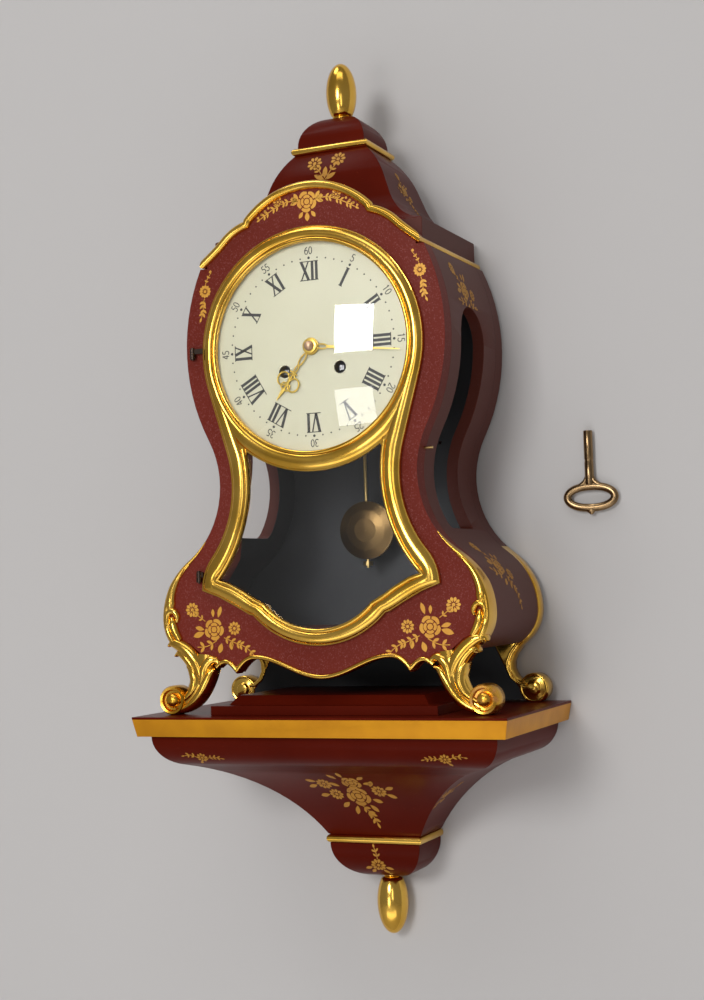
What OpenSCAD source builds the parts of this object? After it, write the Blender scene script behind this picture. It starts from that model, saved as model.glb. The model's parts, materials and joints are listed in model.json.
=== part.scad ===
// Waisted case clock on its own wall console, with a two train movement.
// The wall is the plane y = 0, the clock faces -y, and z points up.
// The origin is the hole of the hanger plate that carries the console.

/* [Console] */
// Height of the console's top face above the hanger hole
hanger_drop = 24; // [20:0.5:27]
// Width of the top board without its cornice
shelf_w = 254; // [246:1:260]
// Depth of the top board from the wall
shelf_d = 133; // [129:1:138]
// Height of the top board and cornice
shelf_h = 13; // [11:0.5:16]
// How far the cornice stands out past the board
cornice_out = 3.6; // [2.8:0.1:5]
// How far the console body stands in from the sides of the top board
body_inset = 6; // [3:0.5:9]
// How far the console body stands in from the front of the top board
body_inset_front = 5; // [3:0.5:9]
// Half width of the console body at its bead
body_foot = 34; // [30:1:40]
// Height of the console body
body_h = 75; // [70:1:84]
// Height of the gilt bead under the body
console_bead_h = 6; // [4:0.5:8]
// Height of the rounded lower block
block_h = 25; // [20:1:30]
// Length of the console finial
lower_finial_l = 40; // [34:1:46]
// Radius of the console finial
lower_finial_r = 10.2; // [8.5:0.1:11]
// Half width of the lower step between the feet
step_w = 80; // [74:0.5:82]
// How far the lower step stands back from the top board's front
step_back = 13; // [9:0.5:17]
// Height of each step
step_h = 6; // [4:0.5:8]
// Radius of the hanger hole
hanger_hole_r = 3.5; // [3:0.1:4]
// Thickness of the hanger plate
hanger_t = 1.6; // [1.2:0.1:2]

/* [Case] */
// Gap between the case and the wall
wall_gap = 4; // [3:0.5:8]
// Thickness of the back board
back_t = 13; // [10:0.5:15]
// Depth of the side panels
side_d = 87; // [84:0.5:100]
// Thickness of the front panel
panel_t = 12; // [10:0.5:13]
// Thickness of the side panels
side_t = 8; // [6:0.5:10]
// Height of the dial centre above the console
dial_z = 238; // [237:0.5:239]
// Half width of the case at the dial
lobe_x = 92.5; // [92:0.1:94]
// Half width of the case at its waist
waist_x = 70.3; // [69.5:0.1:71]
// Height of the waist
waist_z = 152; // [150:0.5:154]
// Radius of the waist curve
waist_r = 63; // [61:0.5:65]
// Half width of the case at the hips
hip_x = 115; // [114:0.5:116]
// Height of the widest part of the hips
hip_z = 63; // [62:0.5:64]
// Radius of the curve under the hips
toe_r = 26; // [25:0.5:28]
// Height of the side panels above the dial centre
side_rise = 59; // [57:0.5:61]
// Height of the bottom of the side panels
side_foot = 40; // [39.5:0.5:43]
// Height of the crest above the side panels
crest_rise = 49; // [45:0.5:53]
// Radius of the crest bead
bead_r = 3.3; // [2.6:0.1:3.8]
// Half width of the plinth under the hood
plinth_w = 75; // [72:0.5:76]
// Height of the plinth under the hood
plinth_h = 19.5; // [16:0.5:24]
// Height of the hood
hood_h = 59; // [52:0.5:66]
// Height of the cap over the hood bead
cap_h = 22; // [18:0.5:26]
// Height of the top finial
top_finial_l = 39; // [34:0.5:44]
// Radius of the top finial
top_finial_r = 10.1; // [8.5:0.1:12]
// Thickness of the front feet
foot_t = 15.5; // [14:0.5:17]
// Radius of the scrolls of the feet
scroll_r = 9.9; // [8.5:0.1:10.5]

/* [Door] */
// Width of the gilt ring
ring_w = 10.5; // [9:0.1:11.5]
// Radius of the sight of the dial
ring_in = 68; // [66:0.1:69]
// Thickness of the door frame
frame_t = 5.6; // [4.6:0.1:6.4]
// Depth of the step round the edge of the frame
frame_step = 2.4; // [1.6:0.1:3]
// Rise of the domed dial glass
glass_rise = 10; // [9:0.5:12]
// Depth of the dial glass's seat in the frame
glass_set = 2.7; // [2.5:0.1:2.8]
// Thickness of both glasses
glass_t = 2; // [1.5:0.1:2.2]
// Radius of the hinge knuckles
knuckle_r = 1.8; // [1.6:0.1:2]
// Radius of the hinge pins
hinge_pin_r = 0.8; // [0.7:0.05:0.9]
// Radius of the latch pin
latch_r = 0.9; // [0.7:0.05:1.1]
// How far the latch pin stands out of the case
latch_out = 6; // [4:0.5:8]
// How far the latch pin pushes in
latch_push = 1.5; // [1:0.1:1.6]

/* [Dial and hands] */
// How far the dial plate reaches past its sight
dial_lap = 3; // [2:0.1:3.6]
// Thickness of the dial plate
dial_t = 1.2; // [0.8:0.1:1.4]
// Radius of the winding holes
winding_hole_r = 4.2; // [3.6:0.1:4.8]
// Length of the minute hand
minute_l = 63; // [55:0.5:65]
// Length of the hour hand
hour_l = 42; // [36:0.5:46]

/* [Movement] */
// Half width of the movement plates
plate_w = 42; // [41:0.5:48]
// Bottom of the movement plates below the dial centre
plate_low = 38; // [37:0.5:42]
// Top of the movement plates above the dial centre
plate_high = 50; // [48:0.5:52]
// Thickness of the movement plates
plate_t = 2; // [1.6:0.1:2.4]
// Space between the movement plates
plate_gap = 32; // [31:0.5:36]
// Thickness of the straps that carry the movement
strap_t = 4; // [3.4:0.1:4.6]
// Distance of the winding squares from the middle
winding_x = 19.7; // [19.3:0.1:20.2]
// Depth of the winding squares under the dial centre
winding_z = 14.9; // [14.5:0.1:15.4]
// Radius of the spring barrels
barrel_r = 15.5; // [14:0.1:16]
// Radius of the winding arbors
winding_r = 2; // [1.8:0.1:2.2]
// Running clearance of every turning piece
run = 0.05; // [0.03:0.01:0.08]
// Radius of the wheel arbors
arbor_r = 1; // [0.95:0.05:1.1]
// Radius of the pivots
pivot_r = 0.6; // [0.5:0.05:0.6]

/* [Pendulum and strike] */
// Height of the pendulum's bending point over the dial centre
swing_z = 40; // [39.5:0.1:40.5]
// Distance of the pendulum plane from the wall
swing_y = 34; // [32:0.5:40]
// Length from the bending point to the bob's centre
pendulum_l = 158; // [146:0.5:160]
// Radius of the bob
bob_r = 20; // [18:0.5:24]
// Thickness of the bob
bob_t = 8; // [6:0.5:9]
// Radius of the bell
bell_r = 20; // [18:0.5:21]

/* [Key] */
// Length of the key without its tip
key_l = 57; // [52:0.5:62]
// Width of the key's bow
key_w = 38; // [32:0.5:42]
// Distance of the key from the middle of the clock
key_x = 150.5; // [146:0.5:170]
// Height of the key's pipe end above the console
key_z = 181; // [160:1:200]

/* [Hidden] */
$fn = 64;

lacquer = [0.43, 0.12, 0.09];
gilt = [0.83, 0.62, 0.2];
brass = [0.78, 0.62, 0.3];
steel = [0.55, 0.56, 0.58];
ivory = [0.88, 0.86, 0.74];

shelf_z = hanger_drop;
back_y = -wall_gap;
inner_y = back_y - back_t;
panel_rear = inner_y - side_d;
front_y = panel_rear - panel_t;
big = 400;
eps = 0.01;
seat = 0.2;
side_top = dial_z + side_rise;
crest_z = side_top + crest_rise;
ring_out = ring_in + ring_w;
dial_r = ring_in + dial_lap;

// Points on an arc round c from angle a0 to a1
function arc(c, r, a0, a1, n = 12) =
  [for (i = [0:n]) let (a = a0 + (a1 - a0) * i / n) c + r * [cos(a), sin(a)]];
// The same list read backwards
function reversed(p) = [for (i = [len(p) - 1:-1:0]) p[i]];
// A right half outline closed by its mirror image
function both(p) = concat(p, [for (q = reversed(p)) [-q.x, q.y]]);
// Direction from a to b
function heading(a, b) = atan2(b.y - a.y, b.x - a.x);
// Radius of the arc that ends upright at p and runs smoothly into the hollow arc round c
function swell_r(c, rc, p) =
  let (dx = c.x - p.x, dz = c.y - p.y) (dx * dx + dz * dz - rc * rc) / (2 * (rc - dx));
// The point at distance ra from a and rb from b, on the left of the way from a to b
function meeting(a, ra, b, rb) =
  let (d = norm(b - a), f = acos((ra * ra + d * d - rb * rb) / (2 * ra * d)), h = heading(a, b))
  a + ra * [cos(h + f), sin(h + f)];

// A flat outline in x and z, made solid from y0 back to y1
module slab(y0, y1) {
  translate([0, y1, 0]) rotate([90, 0, 0]) linear_extrude(y1 - y0) children();
}
// A round bar along y
module rod(y0, y1, r) {
  slab(y0, y1) circle(r);
}
// An outline in y and z, made solid from x0 to x1
module plank(x0, x1) {
  translate([x0, 0, 0]) rotate([90, 0, 90]) linear_extrude(x1 - x0) children();
}
// A profile of radius and depth turned about y, with its depth running to the front
module turned(y0) {
  translate([0, y0, 0]) rotate([90, 0, 0]) rotate_extrude() children();
}
module on_shelf() {
  translate([0, 0, shelf_z]) children();
}
module at_dial() {
  translate([0, 0, shelf_z + dial_z]) children();
}
module at(p) {
  translate([p.x, 0, p.y]) children();
}
module pair() {
  children();
  mirror([1, 0, 0]) children();
}

// Console

// A block against the wall whose three free sides follow one profile of half widths
module three_sided(profile, deeper) {
  intersection() {
    slab(-big, big) polygon(both(profile));
    plank(-big, big) polygon(concat([for (q = profile) [-(q.x + deeper), q.y]],
      [[0, profile[len(profile) - 1].y], [0, profile[0].y]]));
  }
}

body_z = -shelf_h;
body_top = shelf_w / 2 - body_inset;
body_deeper = shelf_d - body_inset_front - body_top;
bead_z = body_z - body_h;
block_z = bead_z - console_bead_h;
finial_z = block_z - block_h;
ogee_r = 20.5;
ogee_turn = -75.6;
ogee_c = [body_top - ogee_r, body_z - 0.5];
ogee_p = ogee_c + ogee_r * [cos(ogee_turn), sin(ogee_turn)];
sweep_v = ogee_p - [body_foot, bead_z];
sweep_r = -(sweep_v * sweep_v) / (2 * (sweep_v * [cos(ogee_turn), sin(ogee_turn)]));
sweep_c = ogee_p + sweep_r * [cos(ogee_turn), sin(ogee_turn)];
shelf_half = shelf_w / 2;
bead_inset = body_foot - 1;

module bracket_top_board() {
  color(lacquer) on_shelf() translate([-shelf_half, -shelf_d, -shelf_h]) cube([shelf_w, shelf_d, shelf_h]);
}

// The cornice section, outward from the board's edge
cornice_lean = 2.4;
mitre = 20;
function cornice_section() =
  [[0, 0], [cornice_out, 0], [cornice_out, -1], [cornice_out - cornice_lean, -shelf_h], [0, -shelf_h]];

module cornice_side() {
  intersection() {
    translate([shelf_half, 0, 0]) slab(-big, 0) polygon(cornice_section());
    translate([0, 0, -big / 2]) linear_extrude(big) polygon([[shelf_half - mitre, 0], [shelf_half + mitre, 0],
      [shelf_half + mitre, -shelf_d - mitre], [shelf_half - mitre, -shelf_d + mitre]]);
  }
}
module cornice_front() {
  intersection() {
    translate([0, -shelf_d, 0]) plank(-big, big) polygon([for (q = cornice_section()) [-q.x, q.y]]);
    translate([0, 0, -big / 2]) linear_extrude(big)
      polygon(both([[shelf_half + mitre, -shelf_d - mitre], [shelf_half - mitre, -shelf_d + mitre]]));
  }
}
module bracket_cornice() {
  color(gilt) on_shelf() {
    pair() cornice_side();
    cornice_front();
  }
}
step_front = step_back - shelf_d;
step_rear = inner_y - 1;
step_in = 9;
step_slope = 5;
module bracket_steps() {
  upper = step_w - step_in;
  upper_front = step_front + step_in;
  upper_rear = step_rear - 6;
  color(lacquer) on_shelf() {
    translate([-step_w, step_front, 0]) cube([2 * step_w, step_rear - step_front, step_h]);
    intersection() {
      slab(-big, big)
        polygon(both([[upper - step_slope, 2 * step_h], [upper, step_h], [upper, step_h - eps]]));
      plank(-big, big) polygon([[upper_front + step_slope, 2 * step_h], [upper_rear, 2 * step_h],
        [upper_rear, step_h - eps], [upper_front, step_h - eps], [upper_front, step_h]]);
    }
  }
}
module bracket_body() {
  color(lacquer) on_shelf() difference() {
    three_sided(concat([[body_top, body_z]], arc(ogee_c, ogee_r, 0, ogee_turn, 10),
      arc(sweep_c, sweep_r, 180 + ogee_turn, heading(sweep_c, [body_foot, bead_z]), 14)), body_deeper);
    translate([0, 0, -hanger_drop]) {
      translate([-hanger_w / 2, -hanger_t, -hanger_h / 2]) cube([hanger_w, big, hanger_h]);
      rod(-hook_room, big, 2 * hanger_hole_r);
      pair() translate([hanger_screw_x, 0, 0]) rod(-screw_l, big, screw_r + run);
    }
  }
}
module bracket_bead() {
  half = console_bead_h / 2;
  color(gilt) on_shelf()
    three_sided(arc([bead_inset - 1, bead_z - half], half, 90, -90, 12), body_deeper + 1);
}
module bracket_lower_block() {
  color(lacquer) on_shelf()
    three_sided(arc([bead_inset - block_h, block_z], block_h, 0, -90, 14), body_deeper + 1);
}

// An egg on a short neck, from its seat at 0 to its tip
egg_middle = 0.46;
function egg(l, r, neck) = let (m = egg_middle * l, h = l - m, a0 = -acos(neck / r)) concat(
  [[0, 0], [neck + 1, 0], [neck + 1, 1.2], [neck, m + h * sin(a0)]],
  [for (i = [1:16]) let (a = a0 + (90 - a0) * i / 16) [i < 16 ? r * cos(a) : 0, m + h * sin(a)]]);
finial_y = -(lower_finial_r + 1.3);
module bracket_finial() {
  color(gilt) on_shelf() translate([0, finial_y, finial_z]) rotate([180, 0, 0])
    rotate_extrude() polygon(egg(lower_finial_l, lower_finial_r, 4.8));
}

hanger_w = 44;
hanger_h = 18;
hanger_screw_x = 16;
screw_r = 1.6;
screw_l = 12;
hook_room = 11;
module bracket_hanger() {
  color(brass) difference() {
    translate([-hanger_w / 2, -hanger_t, -hanger_h / 2]) cube([hanger_w, hanger_t, hanger_h]);
    rod(-big, big, hanger_hole_r);
    pair() translate([hanger_screw_x, 0, 0]) rod(-big, big, screw_r + run);
  }
}
module hanger_screws() {
  color(steel) pair() translate([hanger_screw_x, 0, 0]) rod(-screw_l, 0, screw_r);
}

// Case outline

waist_c = [waist_x + waist_r, waist_z];
lobe_z = dial_z + 4;
lobe_r = swell_r(waist_c, waist_r, [lobe_x, lobe_z]);
lobe_c = [lobe_x - lobe_r, lobe_z];
hip_r = swell_r(waist_c, waist_r, [hip_x, hip_z]);
hip_c = [hip_x - hip_r, hip_z];
toe_c = [hip_x - toe_r, hip_z];
// A list without its first point
function rest(p) = [for (i = [1:len(p) - 1]) p[i]];
// The case's right flank from the height z1 down to z0, moved inward by t
function flank(z1, z0, t = 0) = concat(
  arc(lobe_c, lobe_r - t, asin((z1 - lobe_c.y) / (lobe_r - t)), heading(lobe_c, waist_c), 14),
  arc(waist_c, waist_r + t, heading(waist_c, lobe_c) + (heading(waist_c, lobe_c) < 0 ? 360 : 0),
    heading(waist_c, hip_c) + 360, 14),
  arc(hip_c, hip_r - t, heading(hip_c, waist_c), 0, 10),
  rest(arc(toe_c, toe_r - t, 0, asin((z0 - hip_z) / toe_r), 8)));

// Right half of the crest, from its top to its end over the side bead
arch_half = 43.5;
arch_rise = 18.5;
arch_r = (arch_half * arch_half + arch_rise * arch_rise) / (2 * arch_rise);
kink = [44.6, crest_z - 21];
ear_r = 36;
ear_out_r = 86;
ear_top = kink - ear_r * [cos(76), sin(76)];
ear_mid = ear_top + ear_r * [cos(45), sin(45)];
ear_out = ear_mid + ear_out_r * [cos(45), sin(45)];
function crest(drop = 0) = concat(
  arc([0, crest_z - arch_r - drop], arch_r, 90, 90 - asin(arch_half / arch_r), 12),
  [for (q = arc(ear_top, ear_r, 76, 45, 7)) q - [0, drop]],
  [for (q = arc(ear_out, ear_out_r, 225, 241.5, 7)) q - [0, drop]]);

// Right half of the apron between the feet, from the foot to the middle
apron_low = 23.3;
apron_high = 36.6;
apron_x = 48.5;
cusp_x = 61.5;
cusp_z = 27.5;
apron_end = 76;
cusp_swell = 6.5;
function apron() = concat(
  [for (i = [0:6]) let (t = 1 - i / 6)
    [cusp_x + t * (apron_end - cusp_x), cusp_z + cusp_swell * sin(150 * t)]],
  [for (i = [1:5]) let (t = 1 - i / 6)
    [apron_x + t * (cusp_x - apron_x), apron_high - (apron_high - cusp_z) * t * t]],
  [for (i = [0:10]) let (t = 1 - i / 10)
    [apron_x * t, apron_low + (apron_high - apron_low) * (1 - cos(180 * t)) / 2]]);

// The feet in front view, without their scrolls
scroll_x = 109.8;
scroll_z = scroll_r - 0.3;
// The front foot carries a leaf
front_foot = [
  [108, 10], [106.4, 0.4], [101, 2.4], [94.4, 7.2], [88, 13.6], [82.6, 21.6], [78.4, 28.4],
  [73, 30.4], [71.6, 32.4], [74.6, 35.6], [78.4, 38.8], [84, 36],
  [90, 41.5], [97, 47.4], [104, 50.2], [109.6, 49.2], [112, 46.2],
  [108.6, 41.8], [101.6, 36.8], [96, 31.6], [94.8, 26], [97.4, 20.4], [102.2, 16.6]];
// The flank's distance from the middle at the height z under the hip
function toe_at(z) = toe_c.x + sqrt(toe_r * toe_r - pow(hip_z - z, 2));
// The back foot is slender and runs on from the hip
back_foot = [
  [108, 10], [107.6, 1], [104.8, 4.4], [99.2, 10.6], [93.4, 17.8], [88.8, 26.4], [84.6, 35.4],
  [82.6, 40.4], [92, 44.6], [100, 49],
  [toe_at(49) + 0.4, 49], [toe_at(46) + 0.4, 46], [toe_at(43.6) + 0.4, 43.6],
  [101.8, 38.8], [97.2, 33.2], [95, 28], [94.8, 22.4], [97.6, 16.6], [103, 13]];
module foot_shape(points) {
  polygon(points);
  translate([scroll_x, scroll_z]) circle(scroll_r);
}
module foot(points, y0, y1, eye) {
  color(gilt) on_shelf() intersection() {
    union() {
      slab(y0, y1) foot_shape(points);
      translate([scroll_x, 0, scroll_z]) rod(min(y0, y1) - eye, y1, 4.4);
    }
    translate([0, -big, 0]) cube([big, 2 * big, big]);
  }
}
foot_top = 44;
// The whole front or back of the case in one flat outline, feet left out
module case_front_shape(top, low, foot) {
  difference() {
    polygon(both(concat(top, flank(side_top, foot_top), low)));
    pair_flat() foot_shape(foot);
  }
}
module pair_flat() {
  children();
  mirror([1, 0]) children();
}

// Door outlines, in the same frame as the case

frame_waist = 59.6;
frame_waist_z = dial_z - 87;
frame_hollow = 76;
frame_corner = [ring_out + 5.5, dial_z - 156];
frame_c = [frame_waist + frame_hollow, frame_waist_z];
frame_corner_r = swell_r(frame_c, frame_hollow, frame_corner);
frame_corner_c = [frame_corner.x - frame_corner_r, frame_corner.y];
ring_c = [0, dial_z];
ring_turn = heading(ring_c, frame_c) + acos((ring_out + frame_hollow) / norm(frame_c - ring_c));
bowl_low = dial_z - 193.5;
bowl_r = 64;
sight_waist = 46.8;
sight_r = 98;
sight_c = [sight_waist + sight_r, dial_z - 85];
sight_low = dial_z - 182.7;
sight_bowl = 51.4;
sight_drop = 81.3;
function door_outline() = concat(
  arc(ring_c, ring_out, 90, ring_turn, 20),
  arc(frame_c, frame_hollow, ring_turn + 180, heading(frame_c, frame_corner_c) + 360, 14),
  arc(frame_corner_c, frame_corner_r, heading(frame_corner_c, frame_c), 0, 6),
  [[frame_corner.x - 12, frame_corner.y - 4.4], [frame_corner.x - 24, frame_corner.y - 10.6],
    [49.6, bowl_low + 21]],
  arc([0, bowl_low + bowl_r], bowl_r, -43, -90, 12));
function sight_outline() = concat(
  arc(ring_c, sight_drop, -90, -54.4, 10),
  arc(sight_c, sight_r, 170, 221, 12),
  [[58.4, dial_z - 154.2], [48, dial_z - 160.4], [38.6, dial_z - 165.6], [36.6, dial_z - 167]],
  arc([0, sight_low + sight_bowl], sight_bowl, -45, -90, 10));

module door_sight() {
  translate(ring_c) circle(ring_in);
  polygon(both(sight_outline()));
}
panel_lap = 4.6;
panel_margin = 0.9 * panel_lap;
module panel_opening() {
  translate(ring_c) circle(ring_in + panel_lap);
  polygon(both([for (q = sight_outline())
    [q.x + panel_margin * sign(q.x), q.y + (q.y < dial_z - 130 ? -panel_margin : 18)]]));
}

latch_z = dial_z - 70;
latch_y = panel_rear - 2.2;
latch_tip = 56.4;
catch_w = 1.6;
catch_x = latch_tip - latch_push - 0.3 - catch_w;
catch_h = 8;
hinge_x = -(frame_corner.x + 2.6);
hinge_y = front_y - 2.6;
hinge_heights = [dial_z + 2, dial_z - 147];
hinge_half = 3.4;
leaf_h = hinge_half - seat;
leaf_t = 1.2;

module front_panel() {
  color(lacquer) on_shelf() difference() {
    slab(front_y, panel_rear) difference() {
      case_front_shape(crest(), concat([[102, 42]], apron()), front_foot);
      panel_opening();
      pair_flat() translate([plinth_w, side_top]) square([40, 40]);
    }
    translate([latch_tip - 10, front_y - 1, latch_z - 5.6]) cube([10.8, panel_t + 2, 11.2]);
    at_dial_holes() circle(strap_screw_r);
    at([0, latch_z]) translate([0, latch_y, 0]) rotate([0, 90, 0]) cylinder(r = latch_r + run, h = big);
  }
}
// Holes in the back of the front panel for the straps' screws
module at_dial_holes() {
  translate([0, 0, dial_z]) for (p = wood_screws) at(p)
    slab(panel_rear - wood_screw_depth, panel_rear + 1) children();
}
// The long pierced opening in each side, in y and z
open_front = panel_rear + 18;
open_rear = inner_y - 25;
open_low = dial_z - 121;
open_high = dial_z + 24;
function side_opening() = let (r = (open_rear - open_front) / 2, m = (open_rear + open_front) / 2) concat(
  arc([m, open_high - r], r, 180, 0, 14),
  arc([open_rear - 4, open_low + 4], 4, 0, -90, 3), arc([open_front + 4, open_low + 4], 4, -90, -180, 3));
module side_panel() {
  color(lacquer) on_shelf() difference() {
    slab(panel_rear, inner_y)
      polygon(concat(flank(side_top, side_foot), reversed(flank(side_top, side_foot, side_t))));
    plank(0, big) polygon(side_opening());
  }
}
module side_panel_right() {
  side_panel();
}
module side_panel_left() {
  mirror([1, 0, 0]) side_panel();
}
cover_w = 52;
cover_z0 = dial_z - 62;
cover_z1 = dial_z + 52;
cover_t = 1.6;
cover_lap = 5;
cover_screw_r = 1.1;
module cover_screw_places() {
  pair_flat() for (z = [cover_z0 + cover_lap / 2, cover_z1 - cover_lap / 2])
    translate([cover_w - cover_lap / 2, z]) children();
}
// The back board closes the gap between the back feet, and ends inside them
back_low = 2;
board_end = [[98, 38], [92, 29], [93, 21], [98.6, 13.2], [104.6, 6.4], [102.6, back_low], [0, back_low]];
module back_board() {
  color(lacquer) on_shelf() slab(inner_y, back_y) difference() {
    case_front_shape([[0, side_top], [plinth_w, side_top]], board_end, back_foot);
    translate([cover_lap - cover_w, cover_z0 + cover_lap])
      square([2 * (cover_w - cover_lap), cover_z1 - cover_z0 - 2 * cover_lap]);
    cover_screw_places() circle(cover_screw_r + run);
  }
}
module back_cover() {
  color(brass) on_shelf() slab(back_y, back_y + cover_t) difference() {
    translate([-cover_w, cover_z0]) square([2 * cover_w, cover_z1 - cover_z0]);
    cover_screw_places() circle(cover_screw_r + run);
  }
}
module case_screws() {
  color(steel) at_dial() {
    for (p = strap_screws) at(p) {
      rod(panel_rear, plate_y + plate_t, strap_screw_r);
      rod(panel_rear - 1.2, panel_rear, 2.2);
    }
    for (p = wood_screws) at(p) {
      rod(plate_y, plate_y + 1.2, 2.4);
      rod(panel_rear - wood_screw_depth, plate_y, strap_screw_r);
    }
  }
  color(steel) on_shelf() {
    slab(back_y - 8, back_y + cover_t) cover_screw_places() circle(cover_screw_r);
    slab(back_y + cover_t, back_y + cover_t + 1) cover_screw_places() circle(2 * cover_screw_r);
  }
}
base_t = 6;
base_drop = 14;
module base_board() {
  half = toe_c.x + sqrt(pow(toe_r - side_t, 2) - base_drop * base_drop) - seat;
  color(lacquer) on_shelf() translate([-half, panel_rear, hip_z - base_drop])
    cube([2 * half, side_d, base_t]);
}
module hood_plinth() {
  color(lacquer) on_shelf() translate([-plinth_w, panel_rear, side_top])
    cube([2 * plinth_w, -panel_rear - wall_gap, plinth_h]);
}

// A half round bead along an arc round c, flat on the front panel
module bead_arc(c, r, a0, a1) {
  translate([c.x, front_y, c.y]) rotate([90, 0, 0]) rotate([0, 0, a0]) rotate_extrude(angle = a1 - a0)
    intersection() {
      translate([r, 0]) circle(bead_r);
      translate([r - bead_r, 0]) square([2 * bead_r, bead_r]);
    }
}
module crest_beads() {
  half_angle = asin(arch_half / arch_r);
  color(gilt) on_shelf() {
    bead_arc([0, crest_z - arch_r - bead_r * 0.55], arch_r, 90 - half_angle, 90 + half_angle);
    pair() {
      bead_arc(ear_top - [0, bead_r * 0.55], ear_r, 45, 76);
      bead_arc(ear_out - [0, bead_r * 0.55], ear_out_r, 225, 241.5);
    }
  }
  color(gilt) on_shelf() pair() slab(front_y, back_y) {
    translate([plinth_w, side_top]) square([4, 2 * bead_r]);
    intersection() {
      translate([plinth_w + 4, side_top + bead_r]) circle(bead_r);
      translate([plinth_w + 4, side_top]) square([bead_r, 2 * bead_r]);
    }
  }
}
foot_proud = 3.5;
module front_feet() {
  pair() foot(front_foot, front_y - foot_proud, front_y - foot_proud + foot_t, 2);
}
module back_feet() {
  pair() foot(back_foot, inner_y, back_y, 2);
}

// Hood

hood_y = (panel_rear + back_y) / 2;
hood_z = side_top + plinth_h;
hood_top = 25.6;
hood_flare = 36;
hood_swell = 58;
swell_c = [hood_top + 1 - hood_swell * sin(42), hood_z + hood_h - hood_swell * cos(42)];
flare_top = [plinth_w - 27.8, hood_z + 22.4];
flare_c = flare_top + hood_flare * [sin(68), cos(68)];
// Half widths of the hood by height
function hood_side() = concat([[hood_top, hood_z + hood_h]],
  arc(swell_c, hood_swell, 48, 22, 8), arc(flare_c, hood_flare, 202, 260, 8), [[plinth_w, hood_z]]);
// A block whose front and back are a share of its half widths deep
module four_sided(profile, share, least) {
  translate([0, hood_y, 0]) intersection() {
    slab(-big, big) polygon(both(profile));
    plank(-big, big) polygon(both([for (q = profile) [least + share * (q.x - hood_top), q.y]]));
  }
}
hood_depth = 21.8;
hood_bead_r = 2.6;
cap_z = hood_z + hood_h + 2 * hood_bead_r;
hood_share = (hood_y - panel_rear - seat - hood_depth) / (plinth_w - hood_top);
module hood_roof() {
  color(lacquer) on_shelf() four_sided(hood_side(), hood_share, hood_depth);
}
module hood_bead() {
  color(gilt) on_shelf() four_sided(
    arc([hood_top, hood_z + hood_h + hood_bead_r], hood_bead_r, 90, -90, 10), 1, hood_depth);
}
module hood_cap() {
  r = cap_h - 1;
  color(lacquer) on_shelf() four_sided(concat([[hood_top - 1, cap_z]],
    arc([hood_top - 1 - r, cap_z + 1], r, 0, 90, 12)), 0.8, hood_depth);
}
module top_finial() {
  color(gilt) on_shelf() translate([0, hood_y, cap_z + cap_h])
    rotate_extrude() polygon(egg(top_finial_l, top_finial_r, 5.6));
}

// Door

frame_rear = front_y - seat;
frame_front = frame_rear - frame_t;
glass_lap = 2.4;
module door_frame() {
  color(gilt) on_shelf() difference() {
    union() {
      slab(frame_rear - frame_t + frame_step, frame_rear) polygon(both(door_outline()));
      slab(frame_front, frame_rear) offset(delta = -frame_step) polygon(both(door_outline()));
    }
    slab(-big, big) door_sight();
    slab(frame_rear - glass_set - glass_t - 0.2, big) translate(ring_c) circle(ring_in + glass_lap + 0.1);
    slab(frame_rear - glass_t - 0.8, big) offset(delta = glass_lap + 0.1) polygon(both(sight_outline()));
  }
}
dome_r = (ring_in * ring_in + glass_rise * glass_rise) / (2 * glass_rise);
module dial_glass() {
  inner_r = dome_r - glass_t;
  low = glass_rise + glass_t - dome_r;
  edge = ring_in + glass_lap - 0.2;
  color([0.8, 0.85, 0.85, 0.35]) at_dial() turned(frame_rear - glass_set) polygon(concat(
    [for (q = arc([0, low], dome_r, 90, 90 - asin((ring_in - 0.3) / dome_r), 12)) [abs(q.x), q.y]],
    [[ring_in - 0.3, glass_t], [edge, glass_t], [edge, 0]],
    [for (q = arc([0, low], inner_r, asin(-low / inner_r), 90, 12)) [abs(q.x), q.y]]));
}
module pendulum_glass() {
  color([0.8, 0.85, 0.85, 0.35]) on_shelf() slab(frame_rear - 0.4 - glass_t, frame_rear - 0.4) difference() {
    offset(delta = glass_lap) polygon(both(sight_outline()));
    translate(ring_c) circle(ring_in + glass_lap + 3);
  }
}
module hinge_cut(r) {
  translate([hinge_x, hinge_y, 0]) cylinder(r = r, h = big);
}
module case_hinge_leaves() {
  color(brass) on_shelf() for (z = hinge_heights) difference() {
    union() {
      translate([hinge_x, hinge_y, z - hinge_half]) cylinder(r = knuckle_r, h = leaf_h);
      translate([hinge_x - 1.4 * knuckle_r, front_y - 1, z - hinge_half]) cube([1.4 * knuckle_r, 1, leaf_h]);
      translate([hinge_x - knuckle_r - 0.4, hinge_y, z - hinge_half])
        cube([leaf_t, front_y - hinge_y, leaf_h]);
    }
    hinge_cut(hinge_pin_r + run);
  }
}
module door_hinge_leaves() {
  color(brass) on_shelf() for (z = hinge_heights) {
    frame_x = z > waist_z ? ring_out : frame_corner.x - 0.9;
    difference() {
      union() {
        translate([hinge_x, hinge_y, z]) cylinder(r = knuckle_r, h = hinge_half);
        translate([hinge_x, hinge_y - leaf_t / 2, z]) cube([-hinge_x - frame_x - seat, leaf_t, hinge_half]);
      }
      hinge_cut(hinge_pin_r + run);
    }
  }
}
module hinge_pins() {
  color(steel) on_shelf() for (z = hinge_heights) translate([hinge_x, hinge_y, z - hinge_half - 0.6]) {
    cylinder(r = hinge_pin_r, h = 2 * hinge_half + 1.2);
    translate([0, 0, 2 * hinge_half + 0.7]) cylinder(r = hinge_pin_r + 0.5, h = 0.8);
  }
}
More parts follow.
